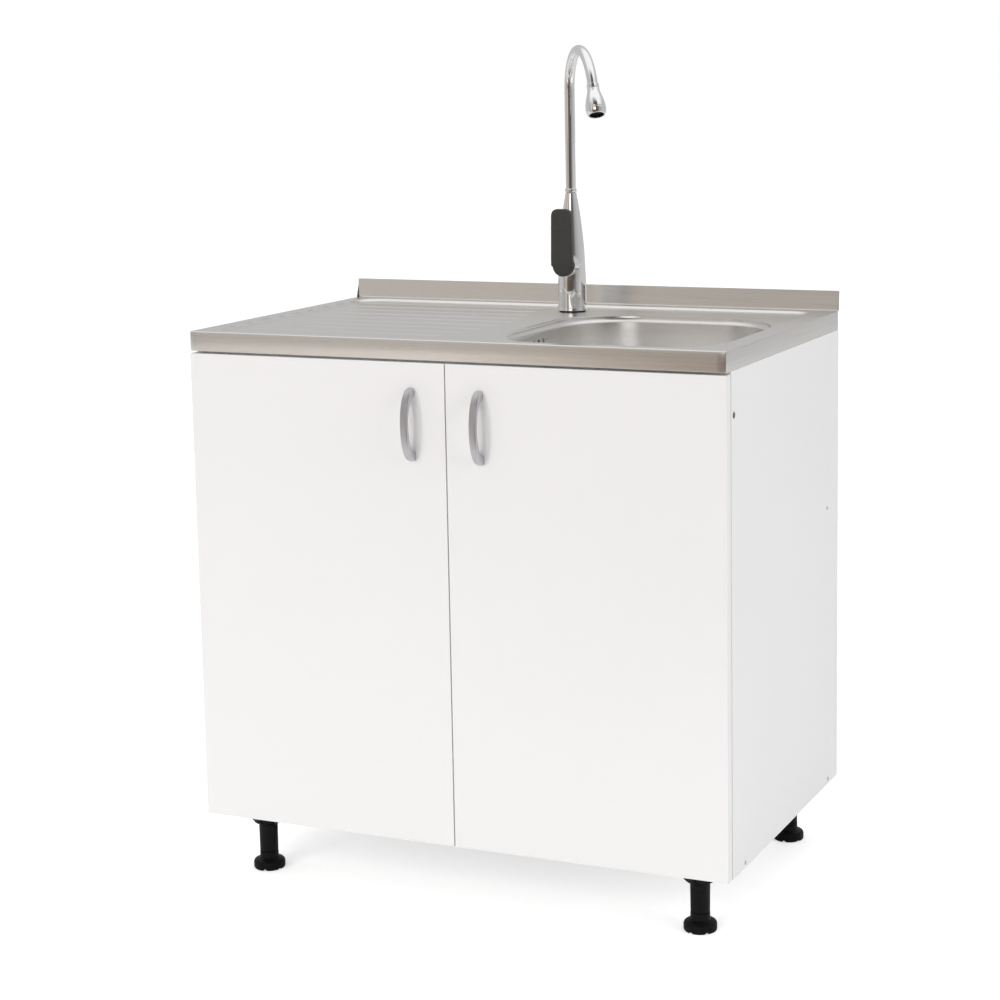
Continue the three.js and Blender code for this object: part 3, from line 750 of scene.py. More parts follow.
def deck_points():
    """Loose points for the deck, dense where it bends."""
    gathered = []
    for offset in (-4, -3, -2, -1, 0, 1, 2, 3, 4):
        p, n = outline(DECK, DECK_HALF, DECK_CORNER, 8)
        gathered.append(p + n * offset)
    for offset in (3.9, 5.2, 6.5, 7.8, 9, 10.2, 11.5, 12.8, 14.1):
        p, n = outline(BOWL, BOWL_HALF, BOWL_CORNER, 6)
        ring = p + n * offset
        gathered.append(ring[ring[:, 0] < 96])
    for left, right, y in ribs():
        ends = [0, 2, 4, 6.5, 9, 12, 15, 19]
        between = list(np.linspace(left, right, 26)[1:-1])
        xs = np.array([left - e for e in ends[::-1]] + between + [right + e for e in ends])
        ys = y + np.array([-7, -5.6, -4.2, -2.8, -1.4, 0, 1.4, 2.8, 4.2, 5.6, 7])
        gathered.append(np.array([(a, b) for a in xs for b in ys]))
    grid = np.array([(a, b) for a in np.arange(-390, 391, 15.0) for b in np.arange(-230, 251, 15.0)])
    step = rounded_distance(grid, DECK, DECK_HALF, DECK_CORNER)
    rim = rounded_distance(grid, BOWL, BOWL_HALF, BOWL_CORNER)
    keep = (np.abs(step) > 7) & (rim > 20)
    for left, right, y in ribs():
        keep &= ~((np.abs(grid[:, 1] - y) < 10) & (grid[:, 0] > left - 24) & (grid[:, 0] < right + 24))
    gathered.append(grid[keep])
    points = np.concatenate(gathered)
    hole = np.hypot(points[:, 0] - TAP[0], points[:, 1] - TAP[1])
    rim = rounded_distance(points, BOWL, BOWL_HALF, BOWL_CORNER)
    inside = rounded_distance(points, (0, (FRONT + REAR) / 2), (396.2, (REAR - FRONT) / 2 - 3.8), 2.0)
    return points[(hole > TAP_HOLE + 2) & (rim > 2) & (inside < 0)]


def deck_skin(skin, edge, mouth):
    """The deck's top between its outer edge, the bowl's mouth and the tap's hole."""
    hole = np.array([(TAP[0] + x, TAP[1] + y) for x, y in circle(TAP_HOLE, 48)])
    loops = [edge, mouth, hole]
    coords = np.concatenate(loops + [deck_points()])
    edges, base = [], 0
    for loop in loops:
        edges += [(base + i, base + (i + 1) % len(loop)) for i in range(len(loop))]
        base += len(loop)
    verts, _, faces, *_ = delaunay_2d_cdt([Vector(p) for p in coords], edges, [], 0, 1e-4)
    xy = np.array([tuple(v) for v in verts])
    centres = np.array([xy[list(f)].mean(axis=0) for f in faces])
    rim = rounded_distance(centres, BOWL, BOWL_HALF, BOWL_CORNER)
    bore = np.hypot(centres[:, 0] - TAP[0], centres[:, 1] - TAP[1])
    out = rounded_distance(centres, (0, (FRONT + REAR) / 2), (397.5, (REAR - FRONT) / 2 - 2.5), 1.5)
    kept = [f for f, r, b, o in zip(faces, rim, bore, out) if r > 0 and b > TAP_HOLE * 0.995 and o < 0]
    skin.add(np.column_stack([xy, deck_height(xy)]), kept)


def bowl_skin(skin, points, normals):
    """The bowl below its mouth, as rings that go from the outline to round at the drain."""
    draft = settings().sink.wall_draft / MM
    deck = BORDER - settings().sink.recess / MM
    roll = 8.0
    profile = [(roll * (1 - math.cos(a)), -roll * math.sin(a)) for a in np.linspace(0, math.pi / 2, 8)]
    drop = deck - BOWL_FLOOR
    wall = [
        (roll + 0.7, -16.0), (roll + 0.8, -18.2), (roll + 1.4, -30.3), (roll + 1.5, -32.5),
        (roll + draft * 0.45, -60), (roll + draft * 0.75, -90), (roll + draft * 0.95, -drop + 38),
    ]
    sweep = flow([
        (roll + draft, -drop + 32), (roll + draft + 3, -drop + 20), (24.5, -drop + 12),
        (32, -drop + 5.5), (42, -drop + 3),
    ], 6)
    rings = profile + wall + [tuple(p) for p in sweep]
    rows = []
    for inset, z in rings:
        rows.append([(*(p - n * inset), deck + z) for p, n in zip(points, normals)])
    towards = points - np.array(BOWL)
    towards /= np.linalg.norm(towards, axis=1)[:, None]
    last = np.array([row[:2] for row in rows[-1]])
    for share in (0.2, 0.4, 0.6, 0.8, 1.0):
        soft = share * share * (3 - 2 * share)
        ring = last * (1 - soft) + (towards * 66 + BOWL) * soft
        rows.append([(*p, BOWL_FLOOR + 3 * (1 - share) ** 1.5) for p in ring])
    for radius, z in ((60, -0.1), (56, -0.5), (52, -1.4), (46, -1.6)):
        rows.append([(*(t * radius + BOWL), BOWL_FLOOR + z) for t in towards])
    cut, corners = set(), []
    level = {round(z + deck, 1): j for j, (_, z) in enumerate(rings)}
    low, low2, high2, high = (level[round(deck - d, 1)] for d in (32.5, 30.3, 18.2, 16.0))
    count = len(points)
    on_left = [i for i in range(count) if normals[i][0] < -0.99]
    for y in SLOTS:
        a, b, c, d = (min(on_left, key=lambda i: abs(points[i][1] - y - d)) for d in SLOT_COLUMNS)
        cut |= {(i, j) for i in range(a, d) for j in range(high, low)}
        corners += [
            ((b, high), (a, high), (a, high2)), ((d, high), (c, high), (d, high2)),
            ((a, low2), (a, low), (b, low)), ((d, low2), (c, low), (d, low)),
        ]
    base = len(skin.points)
    skin.rows(rows, skip=cut)
    skin.faces += [[base + j * count + i for i, j in corner] for corner in corners]
    skin.finishes += [0] * len(corners)


class SINKUNIT_OT_sink(bpy.types.Operator):
    """Builds the pressed top and its bowl as one steel sheet, and its splash upstand"""

    bl_idname = "sink_unit.sink"
    bl_label = "Sink"

    def execute(self, context):
        skin = Skin()
        middle = (0, (FRONT + REAR) / 2)
        half = (HALF_WIDTH - APRON_BEND, (REAR - FRONT) / 2 - APRON_BEND)
        edge, edge_normals = outline(middle, half, 1.5, 10)
        cuts = [y + d for y in SLOTS for d in SLOT_COLUMNS] + [
            BOWL[1] + v for v in (-68, -60, -52, -32.5, -16.5, 0, 18, 28, 38, 48, 58, 68)
        ]
        mouth, mouth_normals = outline(BOWL, BOWL_HALF, BOWL_CORNER, 4.5, cuts)
        deck_skin(skin, edge, mouth)
        bowl_skin(skin, mouth, mouth_normals)
        hem = SINK_LOW[2]
        apron = [
            (APRON_BEND * math.sin(a), BORDER - APRON_BEND * (1 - math.cos(a)))
            for a in np.linspace(0, math.pi / 2, 7)
        ]
        apron += [(APRON_BEND, BORDER - 12), (APRON_BEND, hem + 1.2), (2.2, hem + 0.3), (1.2, hem), (-6, hem)]
        skin.rows([[(*(p + n * out), z) for p, n in zip(edge, edge_normals)] for out, z in apron])
        made(
            "sink_sheet", skin, [brushed_steel()], "cabinet", ("sink_top", "bowl"),
            sheet=settings().sink.sheet / MM, open_up=True,
        )
        top = SINK_HIGH[2]
        back = [
            (REAR - 5.2, BORDER - 0.6), (REAR - 5.2, BORDER + 0.05), (REAR - 1.35, BORDER + 0.1),
            (REAR + LEAN - 1.9, top - 0.5), (REAR + LEAN - 1.7, top), (REAR + LEAN, top),
            (REAR + LEAN, top - 1.6), (REAR - 0.2, BORDER - 0.6),
        ]
        shape = soften(back, [0, 0, 6, 0.5, 0.5, 0.5, 0.6, 0], closed=True, steps=6)
        upstand = Skin().prism(shape, -HALF_WIDTH, HALF_WIDTH)
        made("splash_upstand", upstand, [brushed_steel()], "cabinet")
        return {"FINISHED"}


class SINKUNIT_OT_tap_body(bpy.types.Operator):
    """Builds the tap's tapered body, its lever sleeve and the seal under it"""

    bl_idname = "sink_unit.tap_body"
    bl_label = "Tap body"

    def execute(self, context):
        x, y, z = TAP
        place = Matrix.Translation((x, y, z))
        outside = flow([
            (21.6, 4.5), (21.5, 20), (21.2, 40), (20.5, 60), (19, 92), (16.8, 118), (13.9, 143),
            (11, 162), (9.0, 172.5),
        ], 8)
        foot = soften([(15.2, 2), (21.8, 2), (21.8, 3.6), (21.6, 4.5)], [0, 0.5, 0.4, 0], steps=3)
        top = soften([(9.0, 172.5), (8.4, 177.9), (6.6, 178)], [0, 0.6, 0], steps=3)
        skin = Skin().turned(
            [tuple(p) for p in foot[:-1]] + [tuple(p) for p in outside] + [tuple(p) for p in top[1:]]
            + [(6.6, 60), (15.2, 50)], 128, place,
        )
        mouth = soften(
            [(0.1, 8), (17.5, 8), (17.5, 29), (14.6, 29), (14.6, 20), (0.1, 20)],
            [0, 0, 0.9, 0.4, 0, 0], steps=4,
        )
        skin.turned(mouth, 96, aim((x, y, z + LEVER_AXIS), (0, -1, 0)))
        made("tap_body_shell", skin, [chrome()], "cabinet", ("tap_body",))
        seal = Skin().turned(soften([(15.2, 0), (19.6, 0), (19.6, 2), (15.2, 2)], 0.5, True), 96, place)
        made("tap_base_seal", seal, [rubber()], "cabinet", ("tap_seal",))
        return {"FINISHED"}


def spout_path():
    """Centre line of the spout in its own plane, as (reach, height above the deck)."""
    tap = settings().tap
    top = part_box("spout")[1][2] / MM - TAP[2] - tap.spout_radius / MM
    rise, fall = tap.rise / MM, tap.fall / MM
    points = [(0, 178.4), (0, 200), (0, 240), (0, 280), (0, 310), (0, top - rise - 6)]
    for a in np.linspace(math.pi, math.pi / 2, 25):
        points.append((rise + rise * math.cos(a), top - rise + rise * math.sin(a)))
    for a in np.linspace(math.pi / 2, math.pi / 2 - tap.drop, 31)[1:]:
        points.append((rise + fall * math.cos(a), top - fall + fall * math.sin(a)))
    end = points[-1]
    points.append((end[0] + 6 * math.cos(tap.drop), end[1] - 6 * math.sin(tap.drop)))
    return points, end


class SINKUNIT_OT_spout(bpy.types.Operator):
    """Builds the bent spout, its collar and the flared nozzle with its aerator"""

    bl_idname = "sink_unit.spout"
    bl_label = "Spout"

    def execute(self, context):
        tap = settings().tap
        radius = tap.spout_radius / MM
        swing = Matrix.Translation(TAP) @ Matrix.Rotation(tap.heading, 4, "Z")
        path, end = spout_path()
        world = [swing @ Vector((s, 0, h)) for s, h in path]
        tube = Skin().swept(world, circle(radius, 48), up=swing.to_3x3() @ Vector((0, 1, 0)))
        made("spout_tube", tube, [chrome()], "spout", ("spout",))
        collar = soften(
            [(7.6, 178.5), (8.5, 178.5), (8.8, 180), (8.8, 182.4), (8.3, 184.0), (7.6, 184.4)],
            [0, 0.3, 0.5, 0.5, 0.5, 0], steps=4,
        )
        made(
            "spout_joint", Skin().turned(collar, 96, swing), [chrome()], "spout",
            ("spout_collar",),
        )
        along = Vector((math.cos(tap.drop), 0, -math.sin(tap.drop)))
        nozzle_place = swing @ aim((end[0], 0, end[1]), along)
        flare = [(8.5, 7.5), (9.6, 13), (11.2, 18.5), (13.0, 25), (14.2, 31.5), (14.75, 37)]
        outside = (
            soften([(7.9, 0), (8.8, 0), (8.9, 7), (8.5, 7.5)], [0, 0.5, 0.4, 0], steps=3)[:-1]
            + flow(flare, 6)
            + soften([(14.75, 37), (14.5, 37.5), (14.5, 38.3), (14.7, 38.8), (14.2, 42.5), (12.2, 47.3),
                      (10.9, 47.5), (10.6, 46.6), (10.6, 35.6), (7.9, 22)],
                     [0, 0.2, 0.2, 0.4, 2.2, 0.8, 0.5, 0.4, 0, 0], steps=4)[1:]
        )
        nozzle = Skin().turned([tuple(p) for p in outside], 96, nozzle_place)
        made("spout_nozzle", nozzle, [chrome()], "spout", ("nozzle",))
        ring = soften([(8.7, 36), (10.3, 36), (10.3, 46.8), (9.6, 47.2), (8.7, 46.6)], 0.4, True, 3)
        aerator = Skin().turned(ring, 64, nozzle_place)
        for r in np.arange(1.2, 8.8, 1.5):
            hoop = [(r - 0.25, 44.2), (r + 0.25, 44.2), (r + 0.25, 45), (r - 0.25, 45)]
            aerator.turned(hoop, 40, nozzle_place)
        for k in range(12):
            turn = nozzle_place @ Matrix.Rotation(math.pi * k / 12, 4, "Z")
            bar = [turn @ Vector(v) for v in ((-8.8, 0, 44.3), (8.8, 0, 44.3))]
            aerator.swept(bar, circle(0.3, 6), up=turn.to_3x3() @ Vector((0, 1, 0)))
        aerator.turned([(0, 38), (8.9, 38), (8.9, 39), (0, 39)], 40, nozzle_place)
        made("aerator_insert", aerator, [black_plastic()], "spout", ("aerator",))
        return {"FINISHED"}


class SINKUNIT_OT_lever(bpy.types.Operator):
    """Builds the dark paddle lever, whose lower front leans back over its boss"""

    bl_idname = "sink_unit.lever"
    bl_label = "Lever"

    @staticmethod
    def ordered(ring):
        """The ring's points in order round a point inside it."""
        middle = np.array((0.0, 30.0))
        unique = {tuple(np.round(p, 4)): p for p in ring}
        return sorted(unique.values(), key=lambda p: math.atan2(*(p - middle)[::-1]))

    def execute(self, context):
        x, y, z = TAP
        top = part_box("lever")[1][2] / MM - z - LEVER_AXIS
        wide, narrow = 17.4, 16.0
        ring = soften(
            [(wide, 0), (narrow, top), (-narrow, top), (-wide, 0)], [0, 11, 11, 0], steps=10
        )
        for a in np.linspace(math.pi, 2 * math.pi, 41)[1:-1]:
            tuck = 1.0 - 0.13 * float(smoothstep(0.0, 0.3, -math.sin(a)))
            ring.append(np.array((wide * tuck * math.cos(a), 16.2 * math.sin(a))))
        side = [np.array((-wide + (wide - narrow) * k / 12, top * k / 12)) for k in range(1, 9)]
        ring = [np.array((-p[0], p[1])) for p in side] + ring[1:] + side
        ring = self.ordered(ring)
        spine = [np.array((0, min(max(p[1], 0.0), top - narrow))) for p in ring]

        def face(height):
            slope = max(0.0, 1.0 - height) * 0.42
            return -40.4 + slope if height < -1 else -40.4 + 0.84 * float(1 - smoothstep(-1, 3, height))

        rows = []
        back = -31.6
        rear = [(0.55, 0.0), (0.90, 0.0), (0.955, 0.03), (0.985, 0.10)]
        paddle = rear + [
            (1.0, 0.24), (1.0, 0.5), (1.0, 0.76), (0.992, 0.86), (0.972, 0.935), (0.94, 0.98), (0.9, 0.995),
        ]
        boss = rear + [
            (1.0, 0.22), (0.99, 0.34), (0.96, 0.47), (0.92, 0.60), (0.87, 0.74), (0.82, 0.88), (0.78, 0.985),
        ]
        for upper, lower in zip(paddle, boss):
            row = []
            for p, c in zip(ring, spine):
                low = 1 - float(smoothstep(-2.4, -0.6, p[1]))
                share, depth = (a + (b - a) * low for a, b in zip(upper, lower))
                u, v = c + (p - c) * share
                row.append((x + u, y + back + (face(v) - back) * depth, z + LEVER_AXIS + v))
            rows.append(row)
        skin = Skin().rows(rows)
        loop = np.array([(p[0] - x, p[2] - z - LEVER_AXIS) for p in rows[-1]])
        grid = [(u, v) for u in np.arange(-12, 13, 3.0) for v in np.arange(-13, top - 4, 2.0)]
        coords = [Vector(p) for p in [*loop, *(g for g in grid if within(loop, g, 1.0))]]
        edges = [(i, (i + 1) % len(loop)) for i in range(len(loop))]
        flat, _, faces, *_ = delaunay_2d_cdt(coords, edges, [], 1, 1e-5)
        skin.add(
            [(x + u, y + back + (face(v) - back) * 0.995, z + LEVER_AXIS + v) for u, v in flat], faces
        )
        forward = aim((x, y, z + LEVER_AXIS), (0, -1, 0))
        rim = soften([(12.6, 31.4), (16.0, 31.4), (16.6, 31.9), (16.6, 35), (12.6, 35)], [0, 0.3, 0.3, 0, 0])
        skin.turned(rim, 72, forward)
        skin.turned([(3.9, 31.5), (13, 31.5), (13, 35), (3.9, 35)], 48, forward)
        for index, corners in enumerate(skin.faces):
            middle = np.mean([skin.points[i] for i in corners], axis=0)
            u, v = middle[0] - x, middle[2] - z - LEVER_AXIS
            if v < -1 and math.hypot(u, v) > BARE_BOSS:
                skin.finishes[index] = 1
        made("lever_paddle", skin, [lacquer(), chrome()], "lever", ("lever",), sharp=50)
        return {"FINISHED"}


def squared(wave):
    """A sine or cosine pushed outward, which turns a circle into a soft square."""
    return math.copysign(abs(wave) ** 0.42, wave)


class SINKUNIT_OT_handles(bpy.types.Operator):
    """Builds the two bow handles and the screws that hold them through the doors"""

    bl_idname = "sink_unit.handles"
    bl_label = "Handles"

    def execute(self, context):
        for side in ("left", "right"):
            low, high = cad(f"{side}_handle")
            x, z = (low[0] + high[0]) / 2, (low[2] + high[2]) / 2
            half, width, reach = (high[2] - low[2]) / 2, high[0] - low[0], high[1] - low[1] - 0.05

            def arch(out, end, fullness, t):
                """A point (distance from the door, height) on one of the two arches."""
                mirrored = t < 0.5
                s = 2 * t if mirrored else 2 - 2 * t
                p = [np.array(v) for v in ((0, end), (out * 0.62, end), (out, end * fullness), (out, 0))]
                shares = ((1 - s) ** 3, 3 * s * (1 - s) ** 2, 3 * s * s * (1 - s), s**3)
                at = shares[0] * p[0] + shares[1] * p[1] + shares[2] * p[2] + shares[3] * p[3]
                return (at[0], -at[1] if mirrored else at[1])

            rows = []
            steps = 72
            for k in range(steps + 1):
                t = k / steps
                outer = np.array(arch(reach, half, 0.55, t))
                inner = np.array(arch(reach - 6, half - 13, 0.5, t))
                row = []
                for index in range(28):
                    a = 2 * math.pi * (index + 0.5) / 28
                    across = squared(math.cos(a)) * width / 2
                    d, h = inner + (outer - inner) * (squared(math.sin(a)) * 0.5 + 0.5)
                    row.append((x + across, high[1] - 0.05 - d, z + h))
                rows.append(row)
            skin = Skin().rows(rows, caps=(True, True))
            made(
                f"{side}_bow_handle", skin, [satin()], f"{side}_door",
                (f"{side}_handle",), sharp=60,
            )
            screws = Skin()
            rear = cad(f"{side}_door")[1][1]
            for dz in (-half + 6.5, half - 6.5):
                head = soften([(0, 2.4), (2.2, 2.2), (3.9, 1.2), (4.2, 0), (0, 0)], [0, 0.8, 0.6, 0, 0])
                screws.turned(head, 32, aim((x, rear, z + dz), (0, 1, 0)))
            made(f"{side}_handle_screws", screws, [zinc()], f"{side}_door")
        return {"FINISHED"}


class SINKUNIT_OT_cabinet(bpy.types.Operator):
    """Builds the doors and carcass boards with broken edges, bands and raw chipboard ends"""

    bl_idname = "sink_unit.cabinet"
    bl_label = "Cabinet boards"

    def execute(self, context):
        edge = settings().cabinet.broken_edge / MM
        finishes = [melamine(), edge_band(), chipboard()]

        def door_face(face):
            return 0 if abs(face.normal.y) > 0.9 else 1

        for side in ("left", "right"):
            eased(f"{side}_door", finishes, f"{side}_door", edge, door_face)

            def side_face(face):
                if abs(face.normal.x) > 0.9:
                    return 0
                return 1 if face.normal.y < -0.9 else 2

            eased(f"{side}_side", finishes, "cabinet", edge, side_face)
        eased(
            "bottom_panel", finishes, "cabinet", edge,
            lambda f: 0 if abs(f.normal.z) > 0.9 else 1 if f.normal.y < -0.9 else 2,
        )
        for rail in ("front_rail", "rear_top_rail", "rear_middle_rail"):
            eased(
                rail, finishes, "cabinet", edge,
                lambda f: 0 if abs(f.normal.y) > 0.9 else 2,
            )
        caps, dots = Skin(), Skin()
        for side in ("left", "right"):
            low, high = cad(f"{side}_side")
            outer, out = (low[0], -1) if side == "left" else (high[0], 1)
            for y, z, radius, target in (
                (-212, 714, 4.6, caps), (204.4, 514.8, 3.2, dots), (212.5, 101.5, 3.2, dots),
                (-171, 100.9, 3.2, dots),
            ):
                dome = soften([(0, 0.7), (radius * 0.7, 0.6), (radius, 0.1), (radius, -1.5), (0, -1.5)],
                              [0, 0.5, 0.3, 0, 0])
                target.turned(dome, 40, aim((outer, y, z), (out, 0, 0)))
        brown = moulded("brown cap", (0.10, 0.075, 0.05), 0.35)
        grey = moulded("grey cap", (0.42, 0.42, 0.42), 0.35)
        made("fixing_screw_caps", caps, [brown], "cabinet")
        made("fixing_screw_heads", dots, [grey], "cabinet")
        return {"FINISHED"}


LEGS = {"front_left": 12, "front_right": -17, "rear_left": 0, "rear_right": 0}
FOOT_RADIUS = 23.0
NOTCH_HEIGHT = 3.7


class SINKUNIT_OT_legs(bpy.types.Operator):
    """Builds the moulded leg sockets and their notched screw feet"""

    bl_idname = "sink_unit.legs"
    bl_label = "Legs and feet"

    def execute(self, context):
        notches = settings().cabinet.foot_notches

        def notched(radius, height, angle):
            turn = ((angle - phase) * notches / (2 * math.pi)) % 1 if notches else 0
            away = abs(turn - 0.5) * 2 * math.pi * FOOT_RADIUS / max(notches, 1)
            return radius, (max(height, NOTCH_HEIGHT - away) if radius > 19 else height)

        for name, degrees in LEGS.items():
            phase = math.radians(degrees)
            low, high = cad(f"{name}_leg")
            x, y, top = (low[0] + high[0]) / 2, (low[1] + high[1]) / 2, high[2]
            place = Matrix.Translation((x, y, 0))
            socket = soften([
                (9.2, 26.2), (13.3, 26.2), (13.7, 66.5), (20.6, 70.5), (21.5, 76), (28.6, 85.4), (29, 87),
                (29, top), (10, top), (9.2, 74),
            ], [0, 0.6, 1.2, 1.2, 3, 1.2, 0.8, 0, 0, 0], steps=5)
            leg = Skin().turned(socket, 72, place)
            for k in range(6):
                turn = place @ Matrix.Rotation(math.radians(30 + 60 * k), 4, "Z")
                web = [(13.4, 66.6), (20.4, 70.6), (22, 72), (27.4, 80), (27.4, 87), (13.4, 87)]
                outer = [[turn @ Vector((r, w, h)) for r, h in web] for w in (-1, 1)]
                leg.rows(outer, caps=(True, True))
            finish = [black_plastic()]
            made(f"{name}_leg_socket", leg, finish, "cabinet", (f"{name}_leg",))
            sole = soften([
                (0, 0), (21.6, 0), (23, 1.8), (23, 10.2), (21.2, 13), (13.6, 15.2), (13.5, 25.6),
                (8.5, 25.6), (8.5, 26.2), (0, 26.2),
            ], [0, 0.5, 0.8, 1.4, 1.6, 1.2, 0.4, 0, 0, 0], steps=6)
            dense = [sole[0]]
            for a, b in zip(sole, sole[1:]):
                on_rim = a[0] > 19 and b[0] > 19 and a[1] < 6
                parts = max(1, int(np.linalg.norm(b - a) / 0.7)) if on_rim else 1
                dense += [a + (b - a) * (k + 1) / parts for k in range(parts)]
            foot = Skin().turned([tuple(p) for p in dense], 192, place, shape=notched)
            thread = [(8.5, 25.8)]
            for h in np.arange(27, 66, 2.5):
                thread += [(7.4, h - 0.6), (8.5, h + 0.3), (8.5, h + 0.7)]
            foot.turned([(0, 25.8)] + thread + [(7.4, 67.6), (0, 67.8)], 48, place)
            made(f"{name}_screw_foot", foot, finish, f"{name}_foot", (f"{name}_foot",))
        return {"FINISHED"}


# ---------- drain, trap and fixings ----------


def grips(count, depth, outside, heights=(-math.inf, math.inf), sharpness=3):
    """A shape for turning, with grip grooves outside a radius and between two heights."""

    def shape(radius, height, angle):
        if radius <= outside or not heights[0] < height < heights[1]:
            return radius, height
        return radius - depth * (0.5 + 0.5 * math.cos(count * angle)) ** sharpness, height

    return shape


class SINKUNIT_OT_drain(bpy.types.Operator):
    """Builds the strainer waste in the bowl's floor"""

    bl_idname = "sink_unit.drain"
    bl_label = "Strainer waste"

    def execute(self, context):
        floor = BOWL_FLOOR
        place = Matrix.Translation((*BOWL, floor))
        cup = soften([
            (20, -44), (20, -36.4), (44, -34), (44, -1), (46, 0.15), (56, 0.1), (56, 1.0), (53, 2.4),
            (47, 1.6), (43, 0.4), (42.6, -32.6), (17.6, -35), (17.6, -44),
        ], [0, 2, 4, 1, 0.5, 0.4, 0.6, 2, 2, 2, 4, 2, 0], True, 4)
        made(
            "strainer_cup", Skin().turned(cup, 96, place), [brushed_steel()], "cabinet",
            ("drain_cup",), sharp=50,
        )
        basket = [
            (5, -30.8), (12, -30.8), (16.4, -30.8), (19.6, -30.8), (22.5, -30.8), (27.4, -30.4),
            (29.5, -28.8), (31, -27), (33, -24.6), (35, -22.4), (36.8, -20.6), (37.6, -17), (38.6, -8),
            (39.4, 0.6), (40.2, 2.4), (41.6, 3.2),
        ]
        rows, sides = [], 96
        for r, h in basket:
            rows.append([place @ Vector((u, v, h)) for u, v in circle(r, sides)])
        holes = set()
        for j, spacing, width in ((1, 12, 4), (3, 8, 3), (7, 8, 3), (9, 6, 2), (12, 8, 3)):
            for i in range(0, sides, spacing):
                shift = (spacing // 2) * (j % 4 == 3)
                holes |= {((i + shift + k) % sides, j) for k in range(width)}
        skin = Skin().rows(rows, skip=holes)
        made(
            "strainer_basket_shell", skin, [brushed_steel()], "strainer", ("strainer_basket",),
            sheet=0.7, open_up=True,
        )
        knob = soften(
            [(0, 4.9), (7.4, 4.2), (8, 2.2), (7.4, 0.8), (4.2, -4), (4.2, -24), (6, -31.6), (0, -31.6)],
            [0, 2, 1, 1, 2, 3, 0.5, 0], steps=5,
        )
        made("strainer_knob", Skin().turned(knob, 64, place), [chrome()], "strainer")
        seal = soften([(46, -4), (57, -4), (57, -1.3), (46, -1.3)], 0.6, True, 3)
        washer = Skin().turned(seal, 72, place)
        made("strainer_seal", washer, [rubber()], "cabinet", ("drain_seal",))
        nut = [
            (44.4, -16), (50, -16), (52, -9.5), (59.4, -9), (60, -8.4), (60, -4.6), (59.4, -4.1),
            (44.4, -4.1),
        ]
        made(
            "strainer_lock_nut", Skin().turned(nut, 144, place, shape=grips(24, 1.6, 50, (-10, -4.2))),
            [white_plastic()], "cabinet", ("drain_lock_nut",),
        )
        return {"FINISHED"}


